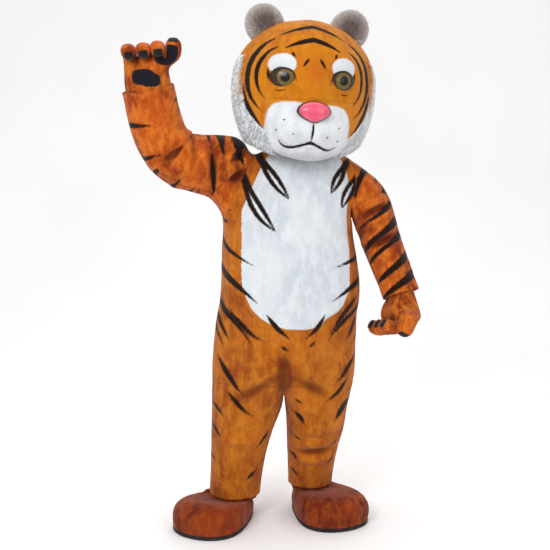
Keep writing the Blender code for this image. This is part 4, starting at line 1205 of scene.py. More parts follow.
def suit_fields(skin):
    """Folds, stripes, white lenses and the edge of the white, from the tables above."""
    p, n = skin.points, skin.normals
    x, heights = p[:, 0], p[:, 2] + SHOULDER_HEIGHT
    depth = np.zeros(len(p))
    white = np.full(len(p), OUTSIDE)
    arms = group_points(skin, ["sleeve_left", "sleeve_right"])
    torso = group_points(skin, ["belly", "front_left", "front_right", "back_left", "back_right"])
    body = ~arms | torso
    for side in (-1, 1):
        facing = smooth(0.0, 0.5, n[:, 1] * side)
        chosen = [fold[:6] for fold in FOLDS if fold[6] == side]
        depth += np.where(arms & ~torso, 0.0, fold_sum(x, heights, chosen) * facing)
    facing = smooth(0.02, 0.16, -n[:, 1])
    strokes = [stroke(nodes, w * FRONT_BOLD) for nodes, w in FRONT_STROKES]
    for entry in CHEST_LENSES:
        edges, inner = chest_lens(*entry)
        strokes += edges
        lens = segment_field(x, heights, [inner])
        white = np.maximum(white, np.where(body & (facing > 0.2), lens, OUTSIDE))
    front = segment_field(x, heights, strokes)
    stripe = np.where(body & (facing > 0), front - 0.03 * (1 - facing), OUTSIDE)
    shoulder = [stroke(nodes, w * BOLD, start=0.6) for nodes, w in SHOULDER_STROKES]
    over = segment_field(x, heights, shoulder) - 0.03 * smooth(0.1, 0.7, n[:, 1])
    stripe = np.maximum(stripe, np.where(heights > SHOULDER_STRIPES_END, over, OUTSIDE))
    edge = np.interp(x, *zip(*WHITE_EDGE), left=1.2, right=1.2)
    below = np.where(torso & (n[:, 1] < 0.0), np.clip(edge - heights, OUTSIDE, -OUTSIDE), OUTSIDE)
    rounds = [(torso, TORSO, TORSO_REACH, ROUND_STROKES)]
    for side, table in (("left", LEG_WEARERS_LEFT), ("right", LEG_WEARERS_RIGHT)):
        leg = group_points(skin, [f"leg_{side}_front", f"leg_{side}_back"])
        rounds.append((leg, table, LEG_REACH, LEG_STROKES[side]))
    for own, table, reach, strokes in rounds:
        cx, cy = ring_axis(heights, table)
        around = np.arctan2(x - cx, -(p[:, 1] - cy)) * reach
        field = segment_field(around, heights, wound(strokes, reach, BOLD), math.tau * reach)
        stripe = np.maximum(stripe, np.where(own, field, OUTSIDE))
    for side, table in (("left", SLEEVE_WEARERS_LEFT), ("right", SLEEVE_WEARERS_RIGHT)):
        own, folds, field = arm_fields(skin, side, table, torso)
        stripe = np.maximum(stripe, np.where(own, field, OUTSIDE))
        depth += np.where(own, folds, 0.0)
    return depth, np.maximum(stripe, OUTSIDE), white, below


def build_suit():
    materials = {"belly": WHITE}
    materials |= {name: ORANGE for name in ("front_left", "front_right", "back_left", "back_right")}
    for side in ("left", "right"):
        materials |= {f"sleeve_{side}": SHADED_SLEEVE, f"leg_{side}_front": ORANGE, f"leg_{side}_back": ORANGE}
    skin = Skin(suit_cage(), SUIT_LEVELS)
    shared = shared_folds(skin)
    skin.press(shared)
    depth, stripe, white, below = suit_fields(skin)
    seams = edge_distance(skin, [[name] for name in materials])
    soft = value_noise(skin.rest, 16.0, 1) * 0.0016 + value_noise(skin.rest, 55.0, 2) * 0.0007
    quiet = smooth(0.0, 0.012, seams)
    skin.press(depth * (0.35 + 0.65 * quiet) + soft * quiet - 0.0008 * np.exp(-((seams / 0.006) ** 2)))
    # Painted shade: how far down in a fold each point lies, for the plush to darken there.
    crease = np.clip((-shared - depth - 0.001) / 0.012, 0.0, 1.0)
    fields = {"stripe": stripe, "lens": white, "below": below, "crease": crease}
    for name, material in materials.items():
        add_wall(f"{name}_plush", skin, [name], PLUSH, material, name, fields, SUIT_GAP)
    return skin


# The large folds that the part's solids have too, with the same columns as FOLDS
LARGE_FOLDS = (
    (-0.205, 1.410, -0.235, 1.200, 0.022, -0.012, -1),
    (-0.245, 1.425, -0.280, 1.190, 0.022, 0.010, -1),
    (-0.290, 1.400, -0.310, 1.210, 0.020, -0.011, -1),
    (-0.335, 1.390, -0.350, 1.230, 0.022, 0.008, -1),
    (-0.400, 1.400, -0.500, 1.300, 0.022, -0.010, -1),
    (-0.425, 1.440, -0.560, 1.380, 0.020, 0.007, -1),
    (-0.450, 1.560, -0.620, 1.560, 0.018, 0.007, -1),
    (0.230, 1.120, 0.330, 1.180, 0.020, -0.009, -1),
    (0.230, 1.060, 0.355, 1.130, 0.020, 0.009, -1),
    (0.240, 1.010, 0.370, 1.080, 0.020, -0.009, -1),
    (0.270, 0.960, 0.380, 1.010, 0.020, 0.007, -1),
    (-0.060, 0.640, -0.060, 0.470, 0.030, -0.016, -1),
    (-0.080, 0.560, -0.260, 0.440, 0.030, -0.008, -1),
    (-0.030, 0.560, 0.120, 0.480, 0.028, -0.008, -1),
    (-0.300, 0.330, -0.150, 0.300, 0.026, 0.008, -1),
    (-0.020, 0.300, 0.150, 0.330, 0.024, 0.010, -1),
    (-0.010, 0.250, 0.150, 0.270, 0.022, -0.010, -1),
    (-0.020, 0.200, 0.130, 0.220, 0.022, 0.007, -1),
    (-0.200, 1.250, -0.120, 1.050, 0.030, -0.008, 1),
    (0.150, 1.250, 0.080, 1.050, 0.030, -0.008, 1),
    (-0.270, 0.640, 0.000, 0.600, 0.030, 0.008, 1),
    (0.190, 0.660, 0.000, 0.560, 0.030, -0.008, 1),
    (-0.300, 0.300, -0.160, 0.320, 0.026, -0.008, 1),
    (-0.020, 0.300, 0.130, 0.280, 0.024, -0.008, 1),
)


def shared_folds(skin):
    p, n = skin.points, skin.normals
    total = np.zeros(len(p))
    for side in (-1, 1):
        folds = [fold[:6] for fold in LARGE_FOLDS if fold[6] == side]
        facing = np.clip(n[:, 1] * side, 0.0, 1.0) ** 0.5
        total += facing * fold_sum(p[:, 0], p[:, 2] + SHOULDER_HEIGHT, folds, 0.6)
    return total


def build_fly(suit):
    """A strip over the seam of the back, laid on the suit by rays from behind."""
    mesh = bpy.data.meshes.new("back_fly_plush")
    tree = BVHTree.FromPolygons(suit.points.tolist(), suit.faces.tolist())
    rows, columns = 90, 7
    heights = np.linspace(FLY_TOP, FLY_BOTTOM, rows)
    cx, _ = ring_axis(heights, TORSO)
    points, faces = [], []
    for layer in (FLY_THICKNESS + 0.0004, 0.0006):
        for x, h in zip(cx, heights):
            for k in range(columns):
                share = k / (columns - 1) * 2 - 1
                start = Vector((x + share * FLY_HALF_WIDTH, 0.6, above_floor(h)))
                place, normal, _, _ = tree.ray_cast(start, Vector((0, -1, 0)))
                points.append(place + normal * (layer if abs(share) < 0.99 else layer * 0.6 + 0.0004))
    count = rows * columns
    for i in range(rows - 1):
        for k in range(columns - 1):
            a = i * columns + k
            b, c, d = a + 1, a + columns + 1, a + columns
            faces += [(a, b, c, d), (a + count, d + count, c + count, b + count)]
    rim = list(range(columns)) + [i * columns + columns - 1 for i in range(1, rows)]
    rim += [(rows - 1) * columns + k for k in range(columns - 2, -1, -1)]
    rim += [i * columns for i in range(rows - 2, 0, -1)]
    for a, b in zip(rim, rim[1:] + rim[:1]):
        faces.append((b, a, a + count, b + count))
    mesh.from_pydata(points, [], faces)
    for key in ("stripe", "lens"):
        set_values(mesh, key, [OUTSIDE] * len(points))
    mesh.shade_smooth()
    return add_piece("back_fly_plush", mesh, ORANGE, "back_fly")


# Marks of the face, seen from straight ahead: (x, height from the head's centre) nodes and half width.
FACE_STROKES = (
    (((-0.020, 0.084), (-0.041, 0.055)), 0.0052),
    (((0.018, 0.086), (0.040, 0.048)), 0.0056),
    (((-0.077, 0.106), (-0.069, 0.086)), 0.0052),
    (((0.079, 0.106), (0.071, 0.089)), 0.0050),
    (((-0.122, 0.124), (-0.168, 0.090), (-0.187, 0.032), (-0.180, -0.024), (-0.153, -0.060)), 0.0070),
    (((-0.130, 0.155), (-0.190, 0.106), (-0.214, 0.040), (-0.212, -0.023), (-0.191, -0.069),
      (-0.162, -0.102)), 0.0086),
    (((-0.228, -0.006), (-0.217, -0.065), (-0.186, -0.123), (-0.154, -0.161)), 0.0078),
    (((0.122, 0.121), (0.166, 0.086), (0.183, 0.028), (0.176, -0.027), (0.148, -0.063)), 0.0068),
    (((0.131, 0.150), (0.187, 0.104), (0.210, 0.034), (0.207, -0.028), (0.186, -0.074), (0.155, -0.108)), 0.0086),
    (((0.224, -0.012), (0.212, -0.070), (0.180, -0.128), (0.148, -0.166)), 0.0078),
    (((-0.132, -0.023), (-0.110, -0.028), (-0.090, -0.021)), 0.0030),
    (((0.092, -0.026), (0.110, -0.031), (0.130, -0.026)), 0.0028),
)
# The chevrons of the brow: pointed at the outer end, full at the peak
PEAK_STROKES = (
    (((-0.113, 0.167), (-0.060, 0.189), (-0.003, 0.203)), 0.0072),
    (((0.106, 0.160), (0.054, 0.186), (-0.003, 0.203)), 0.0072),
    (((-0.100, 0.119), (-0.055, 0.138), (-0.004, 0.152)), 0.0088),
    (((0.092, 0.114), (0.050, 0.136), (-0.004, 0.152)), 0.0088),
)
# Dark lines of the upper lids, and below them the line of the mouth with its half width and depth
LID_STROKES = (
    (((-0.154, 0.052), (-0.152, 0.030), (-0.147, 0.010), (-0.142, 0.000)), 0.0046),
    (((-0.150, 0.016), (-0.138, 0.038), (-0.112, 0.052), (-0.084, 0.045), (-0.066, 0.020),
      (-0.058, 0.002)), 0.0060),
    (((0.152, 0.050), (0.150, 0.028), (0.145, 0.006)), 0.0046),
    (((0.150, 0.014), (0.136, 0.036), (0.110, 0.050), (0.083, 0.042), (0.066, 0.018), (0.058, 0.000)), 0.0060),
)
MOUTH_HALF_WIDTH = 0.0046
MOUTH_DEPTH = 0.0050
MOUTH_STROKES = (
    ((0.000, -0.140), (-0.001, -0.172), (-0.003, -0.208)),
    ((-0.003, -0.207), (-0.034, -0.214), (-0.074, -0.222), (-0.112, -0.196)),
    ((-0.003, -0.207), (0.028, -0.215), (0.062, -0.226), (0.092, -0.214)),
    ((-0.003, -0.202), (-0.030, -0.214)),
    ((-0.003, -0.202), (0.026, -0.214)),
)
SPOT_RADIUS = 0.0036
WHISKER_SPOTS = ((-0.096, -0.127), (-0.119, -0.162), (-0.066, -0.175),
                 (0.092, -0.146), (0.050, -0.179), (0.094, -0.191))
# Soft spots, as x, height, reach across and reach up: warm brown between the brows, painted shade beside the
# mouth.
# The painted shadow under the chin, where the head meets the chest, has a height, a reach up and its most.
WARM_SPOT = (0.004, 0.045, 0.062, 0.085)
MOUTH_SHADE_SPOTS = ((-0.046, -0.178, 0.034, 0.030), (0.046, -0.178, 0.034, 0.030))
MOUTH_SHADE_MOST = 0.42
CHIN_SHADOW = (-0.250, 0.024, 0.55)
# White patches over the eyes: x, height, half width, half height
BROWS = ((-0.108, 0.064, 0.046, 0.036), (0.106, 0.061, 0.044, 0.035))
# The white of the muzzle, nearly square ovals: two lobes and what joins them under the nose
LOBES = ((-0.078, -0.150, 0.076, 0.086), (0.068, -0.154, 0.068, 0.083), (0.000, -0.190, 0.040, 0.082))
# Where the orange of the face ends in the fur: height and x, on the wearer's right and left
FACE_EDGE_RIGHT = ((-0.168, -0.146), (-0.132, -0.179), (-0.088, -0.209), (-0.030, -0.228), (0.035, -0.233),
                   (0.115, -0.218), (0.187, -0.174))
FACE_EDGE_LEFT = ((-0.187, 0.128), (-0.152, 0.170), (-0.106, 0.208), (-0.030, 0.229), (0.053, 0.233),
                  (0.129, 0.210), (0.190, 0.170))
FACE_END = {"right": -0.170, "left": -0.188}
# Stripes of the crown and back: (degrees from the front towards the wearer's left, height) nodes and
# half width; all but the first have a twin on the wearer's right
CROWN_REACH = 0.22
CROWN_STROKES = [(((150, 0.205), (180, 0.190), (210, 0.205)), 0.0100)]
for half_stroke in (
    (((128, 0.150), (160, 0.130), (180, 0.122)), 0.0100),
    (((118, 0.070), (142, 0.056), (168, 0.050)), 0.0110),
    (((122, -0.010), (146, -0.022), (172, -0.024)), 0.0110),
    (((126, -0.085), (150, -0.096), (170, -0.100)), 0.0105),
    (((130, -0.150), (152, -0.164), (176, -0.168)), 0.0100),
):
    nodes, width = half_stroke
    CROWN_STROKES += [half_stroke, ([(360 - angle, height) for angle, height in nodes], width)]
# The plane, in the head's own frame, between the marks of the face and those of the crown
FACE_BACK = 0.02


# Tufts of fur: how many, their length and half width
RUFF_FUR = (5000, 0.036, 0.0030)
CHEEK_FUR = (2600, 0.024, 0.0026)
EAR_TUFTS, EAR_FUR_LENGTH, EAR_FUR_WIDTH = 1700, 0.024, 0.0021


def glow(x, z, spot):
    """A soft round shade: 1 in its middle and fading outwards."""
    cx, cz, across, tall = spot
    return np.exp(-(((x - cx) / across) ** 2) - ((z - cz) / tall) ** 2)


def soft_spot(x, z, spot):
    """How far inside an oval patch each point is, in metres."""
    cx, cz, across, tall = spot
    return (1 - np.hypot((x - cx) / across, (z - cz) / tall)) * min(across, tall)


def face_shape(points, normals):
    """How far the face stands out of the plain head at each point of the head's own frame."""
    facing = np.clip(-normals[:, 1], 0.0, 1.0)
    depth = np.zeros(len(points))
    for x, height, across, tall, most in FACE_RELIEF:
        for side in (1, -1) if x else (1,):
            u, v = (points[:, 0] - side * x) / across, (points[:, 2] - height) / tall
            depth += most * np.exp(-(u * u + v * v))
    return depth * facing


def square_spot(x, z, spot):
    """The same for a patch that is nearly a rectangle with round corners."""
    cx, cz, across, tall = spot
    away = (np.abs((x - cx) / across) ** 3 + np.abs((z - cz) / tall) ** 3) ** (1 / 3)
    return (1 - away) * min(across, tall)


def gold_field(x, z):
    """How far inside the orange of the face each point is, seen from straight ahead."""
    right = x - np.interp(z, *zip(*FACE_EDGE_RIGHT))
    left = np.interp(z, *zip(*FACE_EDGE_LEFT)) - x
    lowest = np.where(x < 0, FACE_END["right"], FACE_END["left"])
    inside = np.minimum(np.minimum(right, left), z - lowest)
    for lobe in LOBES:
        inside = np.minimum(inside, -square_spot(x, z, lobe))
    return inside


def head_fields(skin):
    """Values for the head's materials, and how deep the line of the mouth is pressed in."""
    p, n = skin.points, skin.normals
    x, z = p[:, 0], p[:, 2]
    ahead = p[:, 1] < FACE_BACK
    strokes = [stroke(nodes, w, start=0.3, end=0.15, steps=11) for nodes, w in FACE_STROKES + LID_STROKES]
    strokes += [stroke(nodes, w, start=0.2, end=1.0, fullest=0.98) for nodes, w in PEAK_STROKES]
    stripe = np.where(ahead, segment_field(x, z, strokes), OUTSIDE)
    mouth = [stroke(nodes, MOUTH_HALF_WIDTH, start=0.8, end=0.30) for nodes in MOUTH_STROKES]
    spots = [[(u, v, SPOT_RADIUS), (u + 0.0008, v, SPOT_RADIUS)] for u, v in WHISKER_SPOTS]
    stripe = np.maximum(stripe, np.where(ahead, segment_field(x, z, mouth + spots), OUTSIDE))
    around = np.arctan2(x, -p[:, 1]) * CROWN_REACH
    behind = segment_field(around, z, wound(CROWN_STROKES, CROWN_REACH), math.tau * CROWN_REACH)
    stripe = np.maximum(stripe, np.where(p[:, 1] > FACE_BACK, behind, OUTSIDE))
    brow = np.maximum(soft_spot(x, z, BROWS[0]), soft_spot(x, z, BROWS[1]))
    brow = np.where(ahead, brow, OUTSIDE)
    warm = glow(x, z, WARM_SPOT) * np.clip(-n[:, 1], 0, 1)
    # Painted shadow under the chin, where the head meets the chest, and painted shade beside the mouth.
    height, reach, most = CHIN_SHADOW
    painted_shade = most * np.exp(-(((z - height) / reach) ** 2))
    for spot in MOUTH_SHADE_SPOTS:
        painted_shade += MOUTH_SHADE_MOST * glow(x, z, spot)
    gold = np.where(ahead, gold_field(x, z), OUTSIDE)
    crease = np.where(ahead, segment_field(x, z, mouth), OUTSIDE)
    groove = -MOUTH_DEPTH * np.exp(-((np.minimum(crease, 0.0) / 0.007) ** 2))
    return {"stripe": stripe, "brow": brow, "warm": warm, "painted_shade": painted_shade, "gold": gold}, groove


def locks(points, normals, ways, lengths, widths, bend=0.35, segments=3):
    """Tapered tufts of fur: each a three-sided spike that leaves a point and bends its way."""
    places, faces = [], []
    for place, normal, way, length, width in zip(points, normals, ways, lengths, widths):
        start = len(places)
        across = normal.cross(way).normalized()
        for k in range(segments + 1):
            share = k / segments
            centre = place + normal * length * 0.6 * share * (1 - bend * share) + way * length * share ** 1.3
            half = width * (1 - share) ** 0.75 + 0.0001
            lift = (normal - way * 0.4) * half * 0.8
            places += [centre + corner for corner in (across * half, across * -half, lift)]
        for k in range(segments):
            a, b = start + 3 * k, start + 3 * k + 3
            for i in range(3):
                j = (i + 1) % 3
                faces.append((a + i, a + j, b + j, b + i))
    return places, faces


def add_locks(piece, places, faces, root_values):
    """Joins tufts of fur to a piece; root_values holds named values, one for each tuft."""
    old = piece.data
    count = len(old.vertices)
    points = [tuple(v.co) for v in old.vertices] + [tuple(p) for p in places]
    quads = [tuple(f.vertices) for f in old.polygons] + [tuple(v + count for v in f) for f in faces]
    mesh = bpy.data.meshes.new(piece.name)
    mesh.from_pydata(points, [], quads)
    for layer in old.attributes:
        if layer.data_type == "FLOAT" and layer.domain == "POINT":
            own = root_values.get(layer.name)
            grown = [OUTSIDE] * len(places)
            if own is not None:
                grown = np.repeat(own, len(places) // len(own)).tolist()
            set_values(mesh, layer.name, [d.value for d in layer.data] + grown)
    mesh.materials.append(old.materials[0])
    mesh.shade_smooth()
    piece.data = mesh


def scatter():
    return Vector((random.gauss(0, 1), random.gauss(0, 1), random.gauss(0, 1)))


def grow_on(skin, pieces, count, length, width, comb):
    """Tufts rooted at random on pieces of a skin; comb gives each one's way and share of length."""
    faces = skin.faces[skin.chosen(pieces)]
    corners = skin.points[faces]
    areas = np.linalg.norm(np.cross(corners[:, 2] - corners[:, 0], corners[:, 3] - corners[:, 1]), axis=1)
    picks = random.choices(range(len(faces)), weights=areas.tolist(), k=count)
    roots, normals, ways, lengths, widths = [], [], [], [], []
    for i in picks:
        u, v = random.random(), random.random()
        a, b, c, d = (Vector(corner) for corner in corners[i])
        place = a.lerp(b, u).lerp(d.lerp(c, u), v)
        normal = Vector(skin.normals[faces[i][0]])
        way, share = comb(place, normal)
        if share <= 0:
            continue
        way = way + scatter() * 0.22
        way = (way - normal * way.dot(normal)).normalized()
        roots.append(place - normal * 0.001)
        normals.append(normal)
        ways.append(way)
        lengths.append(length * share * random.uniform(0.6, 1.25))
        widths.append(width * random.uniform(0.7, 1.3))
    return roots, normals, ways, lengths, widths


def fine_lump(name, radii, shaped=None):
    """The part's stretched sphere with many more faces."""
    mesh = bpy.data.meshes.new(name)
    shape = bmesh.new()
    bmesh.ops.create_uvsphere(shape, u_segments=72, v_segments=40, radius=1.0)
    bmesh.ops.rotate(shape, verts=shape.verts, matrix=Matrix.Rotation(math.pi / 2, 3, "X"))
    for v in shape.verts:
        place = shaped(v.co) if shaped else v.co
        v.co = Vector(a * b for a, b in zip(place, radii))
    bmesh.ops.recalc_face_normals(shape, faces=shape.faces)
    shape.to_mesh(mesh)
    shape.free()
    return mesh


def seated(mesh, place, cutters):
    """The mesh moved to its place and cut by closed forms, in the costume's own frame."""
    guide = placed("guide", mesh)
    guide.matrix_world = place
    for cutter in cutters:
        cut = guide.modifiers.new("seat", "BOOLEAN")
        cut.operation = "DIFFERENCE"
        cut.object = cutter
    bpy.context.view_layer.update()
    graph = bpy.context.evaluated_depsgraph_get()
    made = bpy.data.meshes.new_from_object(guide.evaluated_get(graph))
    made.transform(place)
    bpy.data.objects.remove(guide)
    made.materials.clear()
    made.shade_smooth()
    made.set_sharp_from_angle(angle=math.radians(50))
    return made


def cutter_of(mesh, place):
    """A closed form in its place, for cutting a seat."""
    holder = placed("form", mesh)
    holder.matrix_world = place
    return holder


def outer_form(skin, raised):
    """The whole outside of a skin as one closed form."""
    mesh = bpy.data.meshes.new("form")
    mesh.from_pydata((skin.points + skin.normals * raised).tolist(), [], skin.faces.tolist())
    shape = bmesh.new()
    shape.from_mesh(mesh)
    bmesh.ops.holes_fill(shape, edges=[e for e in shape.edges if e.is_boundary], sides=0)
    bmesh.ops.recalc_face_normals(shape, faces=shape.faces)
    shape.to_mesh(mesh)
    shape.free()
    return mesh


def nose_narrowing(low):
    """Share of the nose's width that is left at this share of the way down."""
    return 1.0 - 0.62 * low ** 1.6


def broad_nose(point):
    """Broad and flat on top, drawn in to a blunt point below."""
    low = max(0.0, -point.z)
    return Vector((point.x * nose_narrowing(low), point.y, point.z - 0.10 * abs(point.x) * low))


def build_head():
    pose = head_pose()
    skin = Skin(head_cage(), HEAD_LEVELS)
    skin.press(face_shape(skin.points, skin.normals))
    fields, groove = head_fields(skin)
    tree = BVHTree.FromPolygons(skin.points.tolist(), skin.faces.tolist())
    skin.rest = skin.points.copy()
    materials = {"face": HEAD_PLUSH, "head_back": HEAD_PLUSH, "muzzle": MUZZLE, "chin": MUZZLE,
                 "ruff_left": RUFF, "ruff_right": RUFF}
    seams = edge_distance(skin, [[name] for name in materials])
    soft = value_noise(skin.rest, 14.0, 3) * 0.0020 + value_noise(skin.rest, 60.0, 4) * 0.0008
    skin.press(soft * smooth(0.0, 0.012, seams) + groove)
    skin.move(pose)
    walls = {}
    for name, material in materials.items():
        fields["snow"] = -fields["gold"] if name == "face" else np.full(len(skin.points), OUTSIDE)
        walls[name] = add_wall(f"{name}_plush", skin, [name], HEAD_WALL, material, name, fields, HEAD_GAP)
    centre = Vector(HEAD_CENTRE) - Vector((0.0, 0.0, SHOULDER_HEIGHT))
    inverse = pose.inverted()

    def combed(place, normal):
        away = place - centre
        low = min(1.0, max(0.0, 0.5 - away.z / 0.4))
        back = Vector((math.copysign(0.9, away.x), 0.35, -0.5 - 1.0 * low))
        return back, 0.5 + 0.5 * low

    for side in ("left", "right"):
        tufts = grow_on(skin, [f"ruff_{side}"], *RUFF_FUR, combed)
        flat = [inverse @ root for root in tufts[0]]
        golds = gold_field(np.array([p.x for p in flat]), np.array([p.z for p in flat]))
        golds = np.where(np.array([p.y for p in flat]) < FACE_BACK, golds, OUTSIDE)
        add_locks(walls[f"ruff_{side}"], *locks(*tufts, bend=0.75), {"gold": golds})

    def cheek(place, normal):
        p = inverse @ place
        gold = gold_field(np.array([p.x]), np.array([p.z]))[0]
        if gold > -0.004 or (p.z > -0.06 and abs(p.x) < 0.14) or abs(p.x) < 0.115:
            return normal, 0.0
        return combed(place, normal)

    tufts = grow_on(skin, ["face"], *CHEEK_FUR, cheek)
    add_locks(walls["face"], *locks(*tufts, bend=0.75), {"snow": [-OUTSIDE] * len(tufts[0])})
    build_ears_eyes(pose, tree)


def build_ears_eyes(pose, tree):
    def ahead(x, height):
        return tree.ray_cast(Vector((x, -1.0, height)), Vector((0.0, 1.0, 0.0)))[0].y

    coarse = Skin(head_cage(), GUIDE_LEVELS)
    coarse.press(face_shape(coarse.points, coarse.normals))
    form = cutter_of(outer_form(coarse, 0.0015), pose)
    for side, hand in (("left", 1), ("right", -1)):
        turn = Matrix.Rotation(math.radians(EYE["turn"] * hand), 4, "Z")
        at = (hand * EYE["x"], ahead(EYE["x"], EYE["height"]), EYE["height"])
        place = pose @ Matrix.Translation(at) @ turn
        eye = seated(fine_lump("eye", EYE["radii"]), place, [form])
        mark_eye(eye, place, hand)
        add_piece(f"eye_{side}_glossy", eye, EYE_GLOSS, f"eye_{side}")
        lean = Matrix.Rotation(math.radians(EAR["lean"] * hand), 4, "Y")
        root = pose @ Matrix.Translation((hand * EAR["x"], EAR["y"], EAR["height"])) @ lean
        inside = root @ Matrix.Translation((0.0, -EAR_INNER["ahead"], 0.0))
        hollow = cutter_of(fine_lump("hollow", [r + SEAM for r in EAR_INNER["radii"]]), inside)
        ear = seated(fine_lump("ear", EAR["radii"]), root, [hollow, form])
        add_ear_values(ear, root, EAR["radii"])
        add_piece(f"ear_{side}_plush", ear, EAR_PLUSH, f"ear_{side}")
        inner = seated(fine_lump("ear_inner", EAR_INNER["radii"]), inside, [form])
        add_ear_values(inner, inside, EAR_INNER["radii"])
        piece = add_piece(f"ear_inner_{side}_fur", inner, EAR_FUR, f"ear_inner_{side}")
        grow_ear(piece, inside)
        bpy.data.objects.remove(hollow)
    at = Matrix.Translation((0.0, ahead(0.0, NOSE["height"]), NOSE["height"]))
    nose = seated(fine_lump("nose", NOSE["radii"], broad_nose), pose @ at, [form])
    inverse = (pose @ at).inverted()
    values = []
    for v in nose.vertices:
        p = inverse @ v.co
        low = min(1.0, max(0.0, -p.z / NOSE["radii"][2]))
        narrow = NOSE["radii"][0] * nose_narrowing(low)
        values.append(math.hypot(p.x / narrow, p.z / NOSE["radii"][2]))
    set_values(nose, "edge", values)
    add_piece("nose_glossy", nose, NOSE_GLOSS, "nose")
    bpy.data.objects.remove(form)


def mark_eye(mesh, place, hand):
    """Values for the iris and pupil, which look ahead and a little down, and for the lid's rim."""
    inverse = place.inverted()
    iris, rim = [], []
    for v in mesh.vertices:
        p = inverse @ v.co
        iris.append(math.hypot(p.x - 0.004 * -hand - 0.004, p.z + 0.002))
        high = max(0.0, p.z / EYE["radii"][2])
        rim.append(math.hypot(p.x / EYE["radii"][0], p.z / EYE["radii"][2]) + 0.22 * high)
    set_values(mesh, "iris", iris)
    set_values(mesh, "rim", rim)


def add_ear_values(mesh, place, radii):
    """Values for how far out from the ear's middle and how far back each point is."""
    inverse = place.inverted()
    out, front = [], []
    for v in mesh.vertices:
        p = inverse @ v.co
        out.append(math.hypot(p.x / radii[0], p.z / radii[2]))
        front.append(p.y)
    set_values(mesh, "out", out)
    set_values(mesh, "front", front)


def grow_ear(piece, place):
    """Soft fur over the front of the inside of an ear, combed out from its middle."""
    middle = place @ Vector((0.0, 0.0, -0.02))
    mesh = piece.data
    inverse = place.inverted()
    faces = [f for f in mesh.polygons if (inverse @ f.center).y < -0.004]
    faces.sort(key=lambda face: tuple(round(c, 5) for c in face.center))
    weights = [f.area for f in faces]
    roots, normals, ways, lengths, widths, shares = [], [], [], [], [], []
    for face in random.choices(faces, weights=weights, k=EAR_TUFTS):
        normal = face.normal.copy()
        way = (face.center - middle) + scatter() * 0.02
        way = (way - normal * way.dot(normal)).normalized()
        p = inverse @ face.center
        out = math.hypot(p.x / EAR_INNER["radii"][0], p.z / EAR_INNER["radii"][2])
        roots.append(face.center - normal * 0.001)
        normals.append(normal)
        ways.append(way)
        lengths.append(EAR_FUR_LENGTH * random.uniform(0.6, 1.3) * (1.0 - 0.35 * out))
        widths.append(EAR_FUR_WIDTH * random.uniform(0.7, 1.3))
        shares.append(out)
    add_locks(piece, *locks(roots, normals, ways, lengths, widths, bend=0.5), {"out": np.array(shares)})


# Black patches of the raised palm and of its first finger, seen from the front: x, height, half width,
# half height
PALM_PATCHES = ((-0.553, 1.622, 0.040, 0.028), (-0.528, 1.612, 0.034, 0.024), (-0.470, 1.700, 0.046, 0.036))


def build_paw(side):
    skin = Skin(paw_cage(side), PAW_LEVELS)
    pads = sorted(name for name in skin.names if name.startswith("pad"))
    back, inside = f"paw_{side}_back", f"paw_{side}_palm"
    seams = edge_distance(skin, [[back], [inside, *pads]])
    soft = value_noise(skin.rest, 26.0, 5) * 0.0016 + value_noise(skin.rest, 80.0, 6) * 0.0006
    skin.press(soft * smooth(0.0, 0.010, seams) - 0.0014 * np.exp(-((seams / 0.005) ** 2)))
    x, height = skin.points[:, 0], skin.points[:, 2] + SHOULDER_HEIGHT
    patch = np.max([square_spot(x, height, spot) for spot in PALM_PATCHES], axis=0)
    patch = np.where((skin.normals[:, 1] < -0.1) & (side == "right"), patch, OUTSIDE)
    add_wall(f"{back}_plush", skin, [back], PLUSH, PAW, back, {"pad": np.full(len(x), OUTSIDE)})
    add_wall(f"{inside}_plush", skin, [inside, *pads], PLUSH, PAW, inside, {"pad": patch})
    for pad in pads:
        add_wall(f"{pad}_felt", skin, [pad], FELT, FELT_BLACK, pad, raised=FELT + SEAM)


# Creases of the boots, about the middle of the sole: (degrees from the toes, height) nodes, half width,
# depth
BOOT_REACH = 0.15
BOOT_CREASES = (
    (((-34, 0.030), (-30, 0.098)), 0.012, -0.0050),
    (((-8, 0.026), (-6, 0.100)), 0.014, -0.0045),
    (((22, 0.028), (20, 0.100)), 0.012, -0.0050),
    (((50, 0.030), (46, 0.096)), 0.012, -0.0035),
    (((-60, 0.026), (-56, 0.090)), 0.012, -0.0035),
    (((-110, 0.075), (-60, 0.098), (0, 0.112)), 0.010, -0.0040),
    (((108, 0.070), (60, 0.096), (8, 0.114)), 0.010, -0.0036),
    (((150, 0.060), (200, 0.066)), 0.010, -0.0035),
)


def build_boot(side):
    skin = Skin(boot_cage(side), BOOT_LEVELS)
    toes = math.radians(BOOT_TURN[side])
    hem = (LEG_WEARERS_LEFT if side == "left" else LEG_WEARERS_RIGHT)[-1]
    ahead = np.array([math.sin(toes), -math.cos(toes)])
    across = np.array([math.cos(toes), math.sin(toes)])
    middle = np.array([hem[1], hem[2]]) + ahead * FOOT[-1][2]
    flat = skin.points[:, :2] - middle
    around = np.arctan2(flat @ across, flat @ ahead) * BOOT_REACH
    height = skin.points[:, 2] + SHOULDER_HEIGHT
    folds = np.zeros(len(around))
    for nodes, half_width, most in BOOT_CREASES:
        line = [(math.radians(a) * BOOT_REACH, h, 0.0) for a, h in nodes]
        away = np.minimum(segment_field(around, height, [line], math.tau * BOOT_REACH), 0.0)
        folds += most * np.exp(-((away / half_width) ** 2))
    soft = value_noise(skin.rest, 13.0, 7) * 0.0022 + value_noise(skin.rest, 50.0, 8) * 0.0010
    quiet = smooth(0.016, 0.030, height) * (1 - smooth(hem[0] - 0.014, hem[0] - 0.002, height))
    skin.press((folds + soft) * quiet)
    add_wall(f"boot_{side}_plush", skin, ["boot"], BOOT_WALL, RUST, f"boot_{side}")
    build_sole(side, skin)


